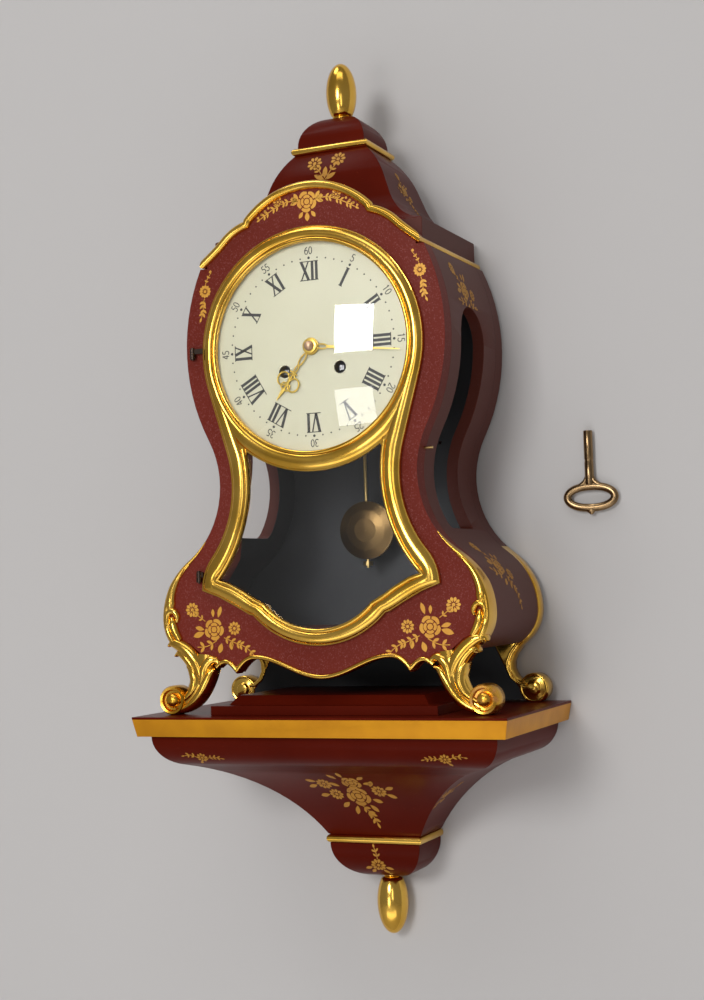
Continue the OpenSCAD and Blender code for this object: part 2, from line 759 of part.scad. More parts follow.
module door_catch() {
  color(brass) on_shelf() {
    translate([catch_x, frame_rear, latch_z - catch_h / 2])
      cube([catch_w, latch_y - frame_rear + 1.4, catch_h]);
    translate([catch_x, frame_rear, latch_z - catch_h / 2]) cube([2.6, 0.9, catch_h]);
  }
}
module door_latch_pin() {
  color(brass) on_shelf() translate([latch_tip, latch_y, latch_z]) rotate([0, 90, 0]) {
    cylinder(r = latch_r, h = waist_x + 1.6 + latch_out - latch_tip);
  }
}

// Dial and movement, in the frame of the dial centre

dial_y = front_y + 0.5;
plate_y = panel_rear + strap_t;
rear_plate_y = plate_y + plate_t + plate_gap;
function in_gap(t) = plate_y + plate_t + t;
T = [winding_x, -winding_z];
S = [-winding_x, -winding_z];
C = [0, 0];
great_n = 58;
second_n = 60;
centre_n = 72;
third_n = 78;
escape_n = 30;
leaf10 = 10;
leaf8 = 8;
leaf6 = 6;
great_m = 0.6;
second_m = 0.5;
centre_m = 0.42;
third_m = 0.36;
cannon_n = 12;
minute_n = 36;
hour_n = 40;
minute_m = 0.5;
hour_m = 0.48;
pin_n = 48;
pin_m = 0.4;
strike_second_n = 50;
great_depth = great_m * (great_n + leaf10) / 2;
second_depth = second_m * (second_n + leaf10) / 2;
centre_depth = centre_m * (centre_n + leaf6) / 2;
third_depth = third_m * (third_n + leaf6) / 2;
T2 = meeting(C, second_depth, T, great_depth);
third_lean = 118;
T3 = centre_depth * [cos(third_lean), sin(third_lean)];
T4 = [0, T3.y + sqrt(third_depth * third_depth - T3.x * T3.x)];
S2 = S + great_depth * [cos(100), sin(100)];
S3 = S2 + second_m * (strike_second_n + leaf8) / 2 * [cos(120), sin(120)];
S4 = S3 + pin_m * (pin_n + leaf6) / 2 * [cos(70), sin(70)];
M = [0, minute_m * (minute_n + cannon_n) / 2];
A = [0, swing_z];
B = [-34, 30];
H = [-38.6, -8];

// Teeth with straight flanks, narrow enough to run free at every phase
function teeth(n, m, phase) = let (r = n * m / 2, w = 360 / n) [for (k = [0:n - 1])
  for (q = [[-1.15, -0.21], [0.6, -0.08], [0.6, 0.08], [-1.15, 0.21]])
    (r + q.x * m) * [cos(phase + (k + q.y) * w), sin(phase + (k + q.y) * w)]];
// A crossed-out wheel
module wheel(n, m, y0, y1, phase, hub) {
  rim = n * m / 2 - 1.15 * m - 1.4;
  slab(y0, y1) {
    difference() {
      polygon(teeth(n, m, phase));
      circle(rim);
    }
    difference() {
      circle(rim + 0.2);
      for (k = [0:3]) rotate(45 + 90 * k) intersection() {
        translate([0.9, 0.9]) square(rim);
        difference() {
          circle(rim);
          circle(hub);
        }
      }
    }
  }
}
module pinion(n, m, y0, y1, phase) {
  slab(y0, y1) polygon(teeth(n, m, phase));
}
// The arbors of six leaved pinions are thinner, to clear the teeth that they mesh with
fine_arbor_r = arbor_r - 0.3;
// An arbor with its two pivots in the plates
module arbor(r = arbor_r) {
  rod(plate_y + 0.2, rear_plate_y + plate_t - 0.2, pivot_r);
  rod(in_gap(0.3), rear_plate_y - 0.3, r);
}
// Phase of a wheel with a tooth, or a pinion with a gap, towards its mate
function tooth_at(a, b) = heading(a, b);
function gap_at(a, b, n) = heading(a, b) + 180 / n;

module pivot_holes(points) {
  for (p = points) translate(p) circle(pivot_r + run);
}
pillar_x = plate_w - 5;
pillar_low = plate_low - 5;
pillar_high = plate_high - 5;
pillar_r = 2.6;
module at_pillars() {
  for (x = [-pillar_x, pillar_x], z = [-pillar_low, pillar_high]) translate([x, z]) children();
}
module plate_blank() {
  difference() {
    translate([-plate_w, -plate_low]) square([2 * plate_w, plate_low + plate_high]);
    at_pillars() circle(1.5 + run);
    pivot_holes([T2, T3, T4, S2, S3, S4, A, H]);
  }
}
module movement_plates() {
  color(brass) at_dial() {
    slab(plate_y, plate_y + plate_t) difference() {
      plate_blank();
      circle(centre_arbor_r + run);
      for (p = [T, S]) translate(p) circle(winding_r + run);
      for (p = strap_screws) translate(p) circle(strap_screw_r);
    }
    at(M) rod(hour_y - 1.6, plate_y + eps, 0.8);
    for (p = clicks) at(p) rod(plate_y - 2.6, plate_y + eps, 1.2);
    slab(rear_plate_y, rear_plate_y + plate_t) difference() {
      plate_blank();
      circle(pivot_r + run);
      for (p = [T, S]) translate(p) circle(1.4 + run);
    }
  }
}
module movement_pillars() {
  color(brass) at_dial() for (x = [-pillar_x, pillar_x], z = [-pillar_low, pillar_high]) at([x, z]) {
    rod(in_gap(0), rear_plate_y, pillar_r);
    rod(plate_y - 1.6, rear_plate_y + plate_t + 1.4, 1.5);
    rod(rear_plate_y + plate_t, rear_plate_y + plate_t + 1.8, 2.6);
  }
}
strap_screw_r = 1.2;
wood_screw_depth = 6;
strap_half = lobe_x - side_t - 9.5;
strap_z = [[-37, -29], [plate_high - 9, plate_high - 1]];
strap_screws = [[-28, -33], [28, -33], [-22, plate_high - 5], [22, plate_high - 5]];
wood_x = strap_half - 4.6;
wood_screws = [[-wood_x, -33], [wood_x, -33], [-wood_x, plate_high - 5], [wood_x, plate_high - 5]];
module movement_straps() {
  color(brass) at_dial() for (z = strap_z) slab(panel_rear, plate_y) difference() {
    translate([-strap_half, z[0]]) square([2 * strap_half, z[1] - z[0]]);
    for (p = concat(strap_screws, wood_screws)) translate(p) circle(strap_screw_r);
    at_pillars() circle(3.6);
    translate(A) circle(2);
  }
}
module dial_plate() {
  color(ivory) at_dial() {
    slab(dial_y, dial_y + dial_t) difference() {
      circle(dial_r);
      circle(4.4);
      for (p = [T, S]) translate(p) circle(winding_hole_r);
    }
    for (x = [-31, 31], z = [-22, 31]) at([x, z]) rod(dial_y + dial_t - eps, plate_y, 1.8);
  }
}

great_t = 2.4;
great_y = in_gap(6);
drum_l = 15;
module barrel(p, mate) {
  color(brass) at_dial() at(p) difference() {
    union() {
      slab(great_y, great_y + great_t) polygon(teeth(great_n, great_m, tooth_at(p, mate)));
      rod(great_y, great_y + great_t + drum_l, barrel_r);
      rod(great_y - 1.6, great_y, 4);
    }
    rod(great_y + 1.4, great_y + great_t + drum_l - 1.4, barrel_r - 1.2);
    rod(-big, big, winding_r + run);
  }
}
module time_barrel() {
  barrel(T, T2);
}
module strike_barrel() {
  barrel(S, S2);
}
ratchet_n = 18;
ratchet_r = 8;
winding_front = dial_y + 3;
module winding_arbor(p) {
  color(steel) at_dial() at(p) {
    rod(plate_y - 0.6, rear_plate_y - 0.3, winding_r);
    rod(rear_plate_y - 0.4, rear_plate_y + plate_t - 0.2, 1.4);
    slab(winding_front, plate_y - 0.3) square(2 * 1.6, center = true);
    slab(plate_y - 2.2, plate_y - 0.6) polygon([for (k = [0:ratchet_n - 1]) each [
      (ratchet_r - 1.2) * [cos(20 * k), sin(20 * k)], ratchet_r * [cos(20 * k + 17), sin(20 * k + 17)]]]);
  }
}
module time_winding_arbor() {
  winding_arbor(T);
}
clicks = [T + [4, 13.6], S + [-4, 13.6]];
module click() {
  color(steel) at_dial() at(clicks[0]) slab(plate_y - 2.1, plate_y - 0.5) difference() {
    union() {
      circle(2.4);
      polygon([[-1.9, -0.6], [-4.9, -5.4], [-1.6, -5.1], [1.9, -1]]);
    }
    circle(1.2 + run);
  }
}
module time_click() {
  click();
}
module strike_click() {
  mirror([1, 0, 0]) click();
}
module strike_winding_arbor() {
  winding_arbor(S);
}
second_y = great_y + great_t + drum_l + 1.2;
module second_wheel(p, from, to, n) {
  color(brass) at_dial() at(p) {
    arbor();
    pinion(leaf10, great_m, great_y - 0.6, great_y + great_t + 0.6, gap_at(p, from, leaf10));
    wheel(n, second_m, second_y, second_y + 1.4, tooth_at(p, to), 3);
  }
}
module time_second_wheel() {
  second_wheel(T2, T, C, second_n);
}
module strike_second_wheel() {
  second_wheel(S2, S, S3, strike_second_n);
}
cannon_y = plate_y - 3.2;
hand_y = dial_y - 1.9;
minute_hand_y = hand_y - 2;
centre_y = in_gap(1.5);
centre_arbor_r = 1.25;
cannon_r = 2.1;
module centre_wheel() {
  color(brass) at_dial() {
    rod(plate_y - 17, rear_plate_y - 0.3, centre_arbor_r);
    rod(rear_plate_y - 0.4, rear_plate_y + plate_t - 0.2, pivot_r);
    wheel(centre_n, centre_m, centre_y, centre_y + 1.5, tooth_at(C, T3), 3);
    pinion(leaf10, second_m, second_y - 0.5, second_y + 2, gap_at(C, T2, leaf10));
    // Cannon pinion and pipe for the minute hand
    slab(cannon_y, cannon_y + 2.4) polygon(teeth(cannon_n, minute_m, gap_at(C, M, cannon_n)));
    rod(minute_hand_y, cannon_y + eps, cannon_r);
  }
}
minute_y = cannon_y + 0.4;
hour_y = cannon_y - 2.6;
module motion_wheel() {
  color(brass) at_dial() at(M) difference() {
    union() {
      wheel(minute_n, minute_m, minute_y, minute_y + 1.4, tooth_at(M, C), 3);
      pinion(leaf10, hour_m, hour_y - 0.4, minute_y + eps, gap_at(M, C, leaf10));
    }
    rod(-big, big, 0.8 + run);
  }
}
module hour_hand_shape() {
  difference() {
    union() {
      translate([-1.1, 4]) square([2.2, 26]);
      translate([0, 12]) circle(2.6);
      for (x = [-4.6, 4.6]) translate([x, 28]) circle(5);
      translate([0, 22]) circle(2.4);
      polygon([[-2, 31], [2, 31], [0.3, hour_l], [-0.3, hour_l]]);
    }
    translate([0, 12]) circle(1.3);
    for (x = [-4.8, 4.8]) translate([x, 28]) circle(3.3);
  }
}
hour_turn = 217.7;
minute_turn = 96.7;
module hour_hand() {
  color(gilt) at_dial() {
    slab(hand_y, hand_y + 0.9) difference() {
      union() {
        rotate(-hour_turn) hour_hand_shape();
        circle(6);
      }
      circle(cannon_r + run);
    }
    difference() {
      rod(hand_y + 0.9 - eps, hour_y + 1.4, 3.3);
      rod(-big, big, cannon_r + run);
    }
    difference() {
      wheel(hour_n, hour_m, hour_y, hour_y + 1.4, tooth_at(C, M), 4);
      rod(-big, big, cannon_r + run);
    }
  }
}
module minute_hand() {
  color(gilt) at_dial() slab(minute_hand_y, minute_hand_y + 0.9) difference() {
    union() {
      circle(4.4);
      rotate(-minute_turn) {
        translate([0, 8.4]) circle(2);
        polygon([[-0.6, 2], [0.6, 2], [1, 16], [0.3, minute_l], [-0.3, minute_l], [-1, 16]]);
      }
    }
    circle(cannon_r);
    rotate(-minute_turn) translate([0, 8.4]) circle(1.1);
  }
}
module hand_nut() {
  color(brass) at_dial() turned(minute_hand_y) polygon([[0, 0], [3.4, 0], [3.4, 1.4], [2.4, 2.6], [0, 3]]);
}
third_y = in_gap(18);
module third_wheel() {
  color(brass) at_dial() at(T3) {
    arbor(fine_arbor_r);
    pinion(leaf6, centre_m, centre_y - 0.5, centre_y + 2, gap_at(T3, C, leaf6));
    wheel(third_n, third_m, third_y, third_y + 1.2, tooth_at(T3, T4), 2.4);
  }
}
escape_y = in_gap(27.8);
escape_r = 9;
module escape_wheel() {
  color(brass) at_dial() at(T4) {
    arbor(fine_arbor_r);
    pinion(leaf6, third_m, third_y - 0.8, third_y + 2, gap_at(T4, T3, leaf6));
    slab(escape_y, escape_y + 1) {
      difference() {
        polygon([for (k = [0:escape_n - 1]) each [
          (escape_r - 1.9) * [cos(12 * k), sin(12 * k)], escape_r * [cos(12 * k + 3), sin(12 * k + 3)],
          (escape_r - 1.9) * [cos(12 * k + 4.6), sin(12 * k + 4.6)]]]);
        circle(escape_r - 3.2);
      }
      circle(2.4);
      for (k = [0:3]) rotate(90 * k) translate([1, -0.6]) square([escape_r - 3.6, 1.2]);
    }
  }
}
rod_y = -swing_y;
crutch_y = rear_plate_y + plate_t + 6;
crutch_l = 34;
module pallet_anchor() {
  color(steel) at_dial() at(A) {
    arbor();
    rod(rear_plate_y, crutch_y + 1.4, pivot_r);
    slab(escape_y - 0.3, escape_y + 1.3) polygon(both([[0, 2.4], [5, 1.4], [10.4, -4], [10.4, -7.2],
      [9.6, -7.2], [8, -3.8], [3.6, -1.8], [0, -1.6]]));
    slab(crutch_y, crutch_y + 1.2) translate([-1, -crutch_l]) square([2, crutch_l + 1.6]);
    for (x = [-3, 1.6]) translate([x, crutch_y, -crutch_l]) cube([1.4, rod_y + 2.4 - crutch_y, 3]);
    translate([-3, crutch_y, -crutch_l]) cube([6, 1.2, 3]);
  }
}
slot_half = 0.9;
cock_low = 3;
module suspension_cock() {
  color(brass) at_dial() at(A) difference() {
    union() {
      translate([-5, rear_plate_y + plate_t, cock_low]) cube([10, rod_y + 5 - rear_plate_y - plate_t, 6]);
      for (x = [-12, 5]) translate([x, rear_plate_y + plate_t, cock_low]) cube([7, 2, 6]);
    }
    translate([-slot_half, rod_y - 3.4, 0]) cube([2 * slot_half, 6.8, cock_low + 4]);
  }
}
spring_t = 0.5;
rod_r = 1.2;
rod_end = pendulum_l + bob_r + 6;
module pendulum_rod() {
  color(brass) at_dial() at(A) {
    translate([-spring_t / 2, rod_y - 2.4, -6]) cube([spring_t, 4.8, 12]);
    translate([-3, rod_y - 3, -10]) cube([6, 6, 5]);
    translate([0, rod_y, -rod_end]) cylinder(r = rod_r, h = rod_end - 9);
    translate([0, rod_y, -rod_end + 1.4]) cylinder(r = 3.4, h = 3, $fn = 12);
  }
}
// Half of the bob's section, as shares of its radius and of half its thickness
bob_half = [[0, 1], [0.4, 0.92], [0.7, 0.68], [0.93, 0.4], [1, 0.32]];
module pendulum_bob() {
  color(brass) at_dial() at(A + [0, -pendulum_l]) difference() {
    turned(rod_y + bob_t / 2) polygon(concat([for (q = bob_half) [bob_r * q.x, bob_t / 2 - q.y * bob_t / 2]],
      [for (q = reversed(bob_half)) [bob_r * q.x, bob_t / 2 + q.y * bob_t / 2]]));
    translate([0, rod_y, -big / 2]) cylinder(r = rod_r + run, h = big);
  }
}

// Strike

module pin_wheel() {
  color(brass) at_dial() at(S3) {
    arbor();
    pinion(leaf8, second_m, second_y - 0.5, second_y + 2, gap_at(S3, S2, leaf8));
    wheel(pin_n, pin_m, in_gap(9), in_gap(10.2), tooth_at(S3, S4), 2.4);
    for (k = [0:7]) rotate([0, -45 * k - 10, 0]) translate([7.6, 0, 0])
      rod(in_gap(10.2) - eps, in_gap(12.6), 0.5);
  }
}
module strike_fly() {
  color(steel) at_dial() at(S4) {
    arbor(fine_arbor_r);
    pinion(leaf6, pin_m, in_gap(8), in_gap(11.2), gap_at(S4, S3, leaf6));
    slab(in_gap(16), in_gap(26)) square([13, 0.8], center = true);
  }
}
hammer_y = rear_plate_y + plate_t + 8;
tail_lean = -17.5;
module strike_hammer() {
  tip = B - H - [-3, bell_r + 3.6];
  color(steel) at_dial() at(H) {
    arbor();
    rod(rear_plate_y, hammer_y + 2, pivot_r);
    slab(hammer_y, hammer_y + 1.6) {
      circle(2.2);
      rotate(heading([0, 0], tip) - 90) translate([-0.8, 0]) square([1.6, norm(tip)]);
    }
    translate([tip.x, hammer_y - 0.8, tip.y]) rod(-1.6, 4, 2.2);
    slab(in_gap(10.6), in_gap(12.2)) rotate(tail_lean) translate([-0.8, 0]) square([1.6, 14]);
  }
}
bell_y = rear_plate_y + plate_t;
crown = 22;
module bell() {
  color(brass) at_dial() at(B) {
    turned(bell_y + crown + 2) difference() {
      polygon(concat([for (a = [0:11.25:90]) [bell_r * sin(a), crown - 12 * (1 - cos(a))]],
        [for (a = [90:-11.25:0]) [(bell_r - 1) * sin(a), crown - 1 - 11.4 * (1 - cos(a))]]));
      square([1.5, big]);
    }
    rod(bell_y, bell_y + 8, 1.5);
    rod(bell_y + 3, bell_y + 4.6, 3);
  }
}

// The winding key beside the clock, flat against the wall
pipe_r = 3.15;
bow_r = 8.7;
pipe_l = key_l - 2 * bow_r - 2.3;
key_y = -pipe_r - 0.3;
bow_wire = 3.2;
bow_t = 3.6;
// A bar with round ends, w wide over its ends
module stadium(w, r) {
  square([w - 2 * r, 2 * r], center = true);
  pair_flat() translate([w / 2 - r, 0]) circle(r);
}
module winding_key() {
  color(brass) on_shelf() translate([key_x, key_y, key_z]) {
    difference() {
      translate([0, 0, -pipe_l]) cylinder(r = pipe_r, h = pipe_l);
      translate([-1.7, -1.7, -14]) cube([3.4, 3.4, 20]);
    }
    translate([0, 0, -pipe_l - bow_r + 1]) slab(-bow_t / 2, bow_t / 2) difference() {
      union() {
        stadium(key_w, bow_r);
        translate([0, -bow_r - 1]) circle(2.4);
      }
      stadium(key_w - 2 * bow_wire, bow_r - bow_wire);
    }
  }
}

bracket_top_board();
bracket_cornice();
bracket_steps();
bracket_body();
bracket_bead();
bracket_lower_block();
bracket_finial();
bracket_hanger();
hanger_screws();
front_panel();
side_panel_left();
side_panel_right();
back_board();
back_cover();
case_screws();
base_board();
hood_plinth();
crest_beads();
front_feet();
back_feet();
hood_roof();
hood_bead();
hood_cap();
top_finial();
door_frame();
dial_glass();
pendulum_glass();
case_hinge_leaves();
door_hinge_leaves();
hinge_pins();
door_catch();
door_latch_pin();
dial_plate();
movement_plates();
movement_pillars();
movement_straps();
suspension_cock();
time_barrel();
time_winding_arbor();
time_click();
time_second_wheel();
centre_wheel();
third_wheel();
escape_wheel();
pallet_anchor();
motion_wheel();
hour_hand();
minute_hand();
hand_nut();
strike_barrel();
strike_winding_arbor();
strike_click();
strike_second_wheel();
pin_wheel();
strike_fly();
strike_hammer();
bell();
pendulum_rod();
pendulum_bob();
winding_key();
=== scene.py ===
"""Dresses the waisted console clock: mouldings, carving, gilding, dial and studio."""

import json
import math

import bmesh
import bpy
from mathutils import Matrix, Vector
from mathutils.bvhtree import BVHTree


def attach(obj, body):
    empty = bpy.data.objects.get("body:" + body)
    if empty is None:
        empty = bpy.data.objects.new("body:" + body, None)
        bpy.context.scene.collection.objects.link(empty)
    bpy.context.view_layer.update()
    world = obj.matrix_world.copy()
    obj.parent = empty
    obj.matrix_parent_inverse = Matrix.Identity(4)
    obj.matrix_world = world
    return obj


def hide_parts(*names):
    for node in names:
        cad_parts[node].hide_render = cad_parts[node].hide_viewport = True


bl_info = {
    "name": "Waisted console clock",
    "version": (1, 0, 0),
    "blender": (4, 5, 0),
    "location": "View3D > Sidebar > Clock",
    "description": "Builds the gilding, dial, hands and finishes of a waisted console clock",
    "category": "Object",
}

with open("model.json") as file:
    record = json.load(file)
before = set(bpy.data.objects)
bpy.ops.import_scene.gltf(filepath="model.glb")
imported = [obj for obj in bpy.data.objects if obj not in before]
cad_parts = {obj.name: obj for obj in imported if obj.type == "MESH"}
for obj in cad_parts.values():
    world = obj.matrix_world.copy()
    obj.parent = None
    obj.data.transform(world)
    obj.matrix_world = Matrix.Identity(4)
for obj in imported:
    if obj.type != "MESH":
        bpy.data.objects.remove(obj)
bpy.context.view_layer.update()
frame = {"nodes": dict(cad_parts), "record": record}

MM = 0.001
SHELF_Z = 24.0
DIAL_Z = 238.0
PANEL_Y = -116.0
BACK_Y = -4.0
DIAL_Y = -115.5
FRAME_Y = -116.2
HOOD_Y = -54.0


def here(x, y, z):
    """A point in millimetres over the console's top, in metres over the hanger hole."""
    return Vector((x * MM, y * MM, (z + SHELF_Z) * MM))


def turn(angle):
    """A unit vector in x and z at an angle in degrees."""
    return Vector((math.cos(math.radians(angle)), math.sin(math.radians(angle))))


def arc(centre, radius, start, end, steps=24):
    """Points in x and z on an arc."""
    return [Vector(centre) + radius * turn(start + (end - start) * i / steps) for i in range(steps + 1)]


def heading(a, b):
    """Angle in degrees from one point to another."""
    return math.degrees(math.atan2(b[1] - a[1], b[0] - a[0]))


def round_points(centre, radius, count):
    """Plain (x, y) points round a circle."""
    return [(centre[0] + radius * math.cos(t), centre[1] + radius * math.sin(t))
            for t in (2 * math.pi * k / count for k in range(count))]


def both_sides(half):
    """A path from the left end to the right end of a shape whose right half starts in the middle."""
    return [Vector((-p.x, p.y)) for p in reversed(half) if abs(p.x) > 1e-4] + list(half)


def round_loop(half):
    """A closed clockwise loop from a right half that runs from top to bottom."""
    return list(half) + [Vector((-p.x, p.y)) for p in reversed(half) if abs(p.x) > 1e-4]


# Outlines of the case, in millimetres over the console's top

WAIST_C = Vector((133.3, 152.0))
WAIST_R = 63.0


def swell(hollow, hollow_r, end_x, end_z):
    """Centre and radius of the arc that ends upright at a point and runs smoothly into a hollow."""
    dx, dz = hollow.x - end_x, hollow.y - end_z
    radius = (dx * dx + dz * dz - hollow_r ** 2) / (2 * (hollow_r - dx))
    return Vector((end_x - radius, end_z)), radius


HIP_X, HIP_Z = 115.0, 63.0
LOBE_C, LOBE_R = swell(WAIST_C, WAIST_R, 92.5, 242.0)
HIP_C, HIP_R = swell(WAIST_C, WAIST_R, HIP_X, HIP_Z)
TOE_R = 26.0
TOE_C = Vector((HIP_X - TOE_R, HIP_Z))
REAR_EDGE_LOW, REAR_EDGE_HIGH = 44.0, 104.0


def flank(top, bottom):
    """The case's right edge from one height down to another."""
    points = arc(LOBE_C, LOBE_R, 40, heading(LOBE_C, WAIST_C), 24)
    points += arc(WAIST_C, WAIST_R, heading(WAIST_C, LOBE_C) % 360, heading(WAIST_C, HIP_C) % 360, 24)[1:]
    points += arc(HIP_C, HIP_R, heading(HIP_C, WAIST_C), 0, 16)[1:] + arc(TOE_C, TOE_R, 0, -75, 16)[1:]
    return [p for p in points if bottom <= p.y <= top]


ARCH_HALF, ARCH_RISE = 43.5, 18.5
ARCH_R = (ARCH_HALF ** 2 + ARCH_RISE ** 2) / (2 * ARCH_RISE)
ARCH_TOP = 346.0
EAR_KINK = Vector((44.6, 325.0))
EAR_R, EAR_OUT_R = 36.0, 86.0


def crest(drop=0.0):
    """Right half of the crest, from its top to the side bead."""
    ear_c = EAR_KINK - EAR_R * turn(76)
    out_c = ear_c + EAR_R * turn(45) + EAR_OUT_R * turn(45)
    points = arc((0, ARCH_TOP - ARCH_R), ARCH_R, 90, 90 - math.degrees(math.asin(ARCH_HALF / ARCH_R)), 24)
    points += arc(ear_c, EAR_R, 76, 45, 10) + arc(out_c, EAR_OUT_R, 225, 241.5, 10)[1:]
    return [p - Vector((0, drop)) for p in points]


def apron():
    """Right half of the edge between the feet, from the foot to the middle."""
    points = []
    for i in range(9):
        x = 76 - 14.5 * i / 8
        points.append(Vector((x, 27.5 + 6.5 * math.sin(math.radians(150 * (x - 61.5) / 14.5)))))
    for i in range(1, 8):
        x = 61.5 - 13 * i / 8
        points.append(Vector((x, 36.6 - 9.1 * ((x - 48.5) / 13) ** 2)))
    for i in range(17):
        x = 48.5 * (1 - i / 16)
        points.append(Vector((x, 23.3 + 13.3 * (1 - math.cos(math.radians(180 * x / 48.5))) / 2)))
    return points


RING_C = Vector((0.0, DIAL_Z))
RING_OUT = 78.5
SIGHT_R = 68.0
GLASS_R, GLASS_CENTRE_Y = 236.2, 105.3
DOOR_HOLLOW_C = Vector((135.6, 151.0))
DOOR_HOLLOW_R = 76.0


def door_outline():
    """Right half of the door's outer edge, from the top to the bottom."""
    hollow, hollow_r = DOOR_HOLLOW_C, DOOR_HOLLOW_R
    corner_c, corner_r = swell(hollow, hollow_r, 84.0, 82.0)
    reach = (hollow - RING_C).length
    start = heading(RING_C, hollow) + math.degrees(math.acos((RING_OUT + hollow_r) / reach))
    points = arc(RING_C, RING_OUT, 90, start, 30)
    points += arc(hollow, hollow_r, start + 180, heading(hollow, corner_c) + 360, 20)[1:]
    points += arc(corner_c, corner_r, heading(corner_c, hollow), 0, 10)[1:]
    points += [Vector(p) for p in ((78, 79.8), (72, 77.6), (66, 74.6), (60, 71.4), (54.4, 68.2),
                                   (49.6, 65.5))]
    return points + arc((0, 108.5), 64, -43, -90, 14)


def sight_outline():
    """Right half of the lower window, from under the ring to the bottom."""
    points = arc((144.8, 153), 98, 167.5, 221, 24)
    points += [Vector(p) for p in ((64.4, 86.9), (58.4, 83.8), (53, 80.9), (48, 77.6), (43.2, 74.6),
                                   (38.6, 72.4), (36.6, 71))]
    return points + arc((0, 106.7), 51.4, -45, -90, 14)


# Mesh building

def skin(bm, rings, closed=False):
    """Stretches a grid over a run of equal rings and closes its ends."""
    rows, cols = len(rings), len(rings[0])
    grid = bmesh.ops.create_grid(bm, x_segments=rows - 1, y_segments=cols, size=1)
    for v in grid["verts"]:
        i = round((v.co.x + 1) / 2 * (rows - 1))
        j = round((v.co.y + 1) / 2 * cols) % cols
        v.co = rings[i][j]
    faces = {f for v in grid["verts"] for f in v.link_faces}
    bmesh.ops.remove_doubles(bm, verts=grid["verts"], dist=1e-6)
    faces = [f for f in faces if f.is_valid]
    if not closed:
        rim = [e for e in {e for f in faces for e in f.edges} if e.is_boundary]
        bmesh.ops.holes_fill(bm, edges=rim, sides=0)


def sweep(bm, path, section, y0, closed=False, scale=None, widths=None):
    """Carries a section of (outward, forward) along a flat path in x and z, mitred at its corners.

    scale holds a factor for each point, widths one for the outward measure only.
    """
    rings, count = [], len(path)
    for i, p in enumerate(path):
        before = path[i - 1] if i or closed else None
        after = path[(i + 1) % count] if i < count - 1 or closed else None
        ways = [(b - a).normalized() for a, b in ((before, p), (p, after)) if a is not None and b is not None]
        normals = [Vector((-w.y, w.x)) for w in ways]
        side = normals[0]
        if len(normals) == 2:
            side = (normals[0] + normals[1]) / (1 + normals[0].dot(normals[1]))
        k = scale[i] if scale else 1.0
        wide = k * (widths[i] if widths else 1.0)
        rings.append([here(p.x + side.x * out * wide, y0 - forward * k, p.y + side.y * out * wide)
                      for out, forward in section])
    if closed:
        rings.append(rings[0])
    skin(bm, rings, closed)


def limb(bm, spine, y, flat=0.0, sides=14):
    """A carved limb along (x, z, half width, half depth) points, centred at depth y.

    A fifth value in a point brings it forward; flat squares its section.
    """
    rings = []
    for i, (x, z, wide, deep, *lean) in enumerate(spine):
        a = spine[max(i - 1, 0)]
        b = spine[min(i + 1, len(spine) - 1)]
        way = Vector((b[0] - a[0], b[1] - a[1])).normalized()
        ring = []
        for k in range(sides):
            t = 2 * math.pi * k / sides
            c, s = math.cos(t), math.sin(t)
            s = math.copysign(abs(s) ** (1 - flat), s)
            ring.append(here(x - way.y * wide * c, y - sum(lean) - deep * s, z + way.x * wide * c))
        rings.append(ring)
    skin(bm, rings)


def smooth_spine(points, steps=5):
    """A smooth run through points of any length."""
    out = []
    last = len(points) - 1
    for i in range(last):
        near = [points[max(0, min(last, k))] for k in (i - 1, i, i + 1, i + 2)]
        for s in range(steps):
            t = s / steps
            out.append(tuple(0.5 * (2 * b + (c - a) * t + (2 * a - 5 * b + 4 * c - d) * t * t
                                    + (3 * b - a - 3 * c + d) * t ** 3) for a, b, c, d in zip(*near)))
    out.append(tuple(points[-1]))
    return out


def lathe(bm, profile, centre, axis, steps=48):
    """Turns a profile of (radius, along) round an axis through a point."""
    axis = Vector(axis)
    side = Vector((1, 0, 0)) if abs(axis.x) < 0.5 else Vector((0, 1, 0))
    verts = [bm.verts.new(centre + (side * r + axis * t) * MM) for r, t in profile]
    edges = [bm.edges.new(pair) for pair in zip(verts, verts[1:])]
    bmesh.ops.spin(bm, geom=verts + edges, cent=centre, axis=axis, dvec=(0, 0, 0),
                   angle=2 * math.pi, steps=steps, use_merge=True)
    bmesh.ops.remove_doubles(bm, verts=list(bm.verts), dist=2e-7)


def plate(bm, outline, y0, thick):
    """A flat piece from a closed outline in x and z, its front at y0."""
    verts = [bm.verts.new(here(p[0], y0, p[1])) for p in outline]
    face = bm.faces.new(verts)
    out = bmesh.ops.extrude_face_region(bm, geom=[face])
    moved = [v for v in out["geom"] if isinstance(v, bmesh.types.BMVert)]
    bmesh.ops.translate(bm, verts=moved, vec=(0, thick * MM, 0))


def piece(name, bm, material, body, replaced=(), angle=38):
    """Turns a mesh under construction into a finished piece that rides on a body."""
    bmesh.ops.recalc_face_normals(bm, faces=bm.faces)
    mesh = bpy.data.meshes.new(name)
    bm.to_mesh(mesh)
    bm.free()
    mesh.polygons.foreach_set("use_smooth", [True] * len(mesh.polygons))
    mesh.set_sharp_from_angle(angle=math.radians(angle))
    mesh.materials.append(material)
    obj = bpy.data.objects.new(name, mesh)
    bpy.context.collection.objects.link(obj)
    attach(obj, body)
    if replaced:
        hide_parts(*replaced)
    return obj


def node_copy(node):
    """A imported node's mesh in place, with its doubled vertices merged."""
    bm = bmesh.new()
    source = frame["nodes"][node]
    bm.from_mesh(source.data)
    bm.transform(source.matrix_world)
    bmesh.ops.remove_doubles(bm, verts=list(bm.verts), dist=2e-6)
    return bm


def everything(bm):
    """All parts of a mesh, for operators that take geometry."""
    return list(bm.verts) + list(bm.edges) + list(bm.faces)


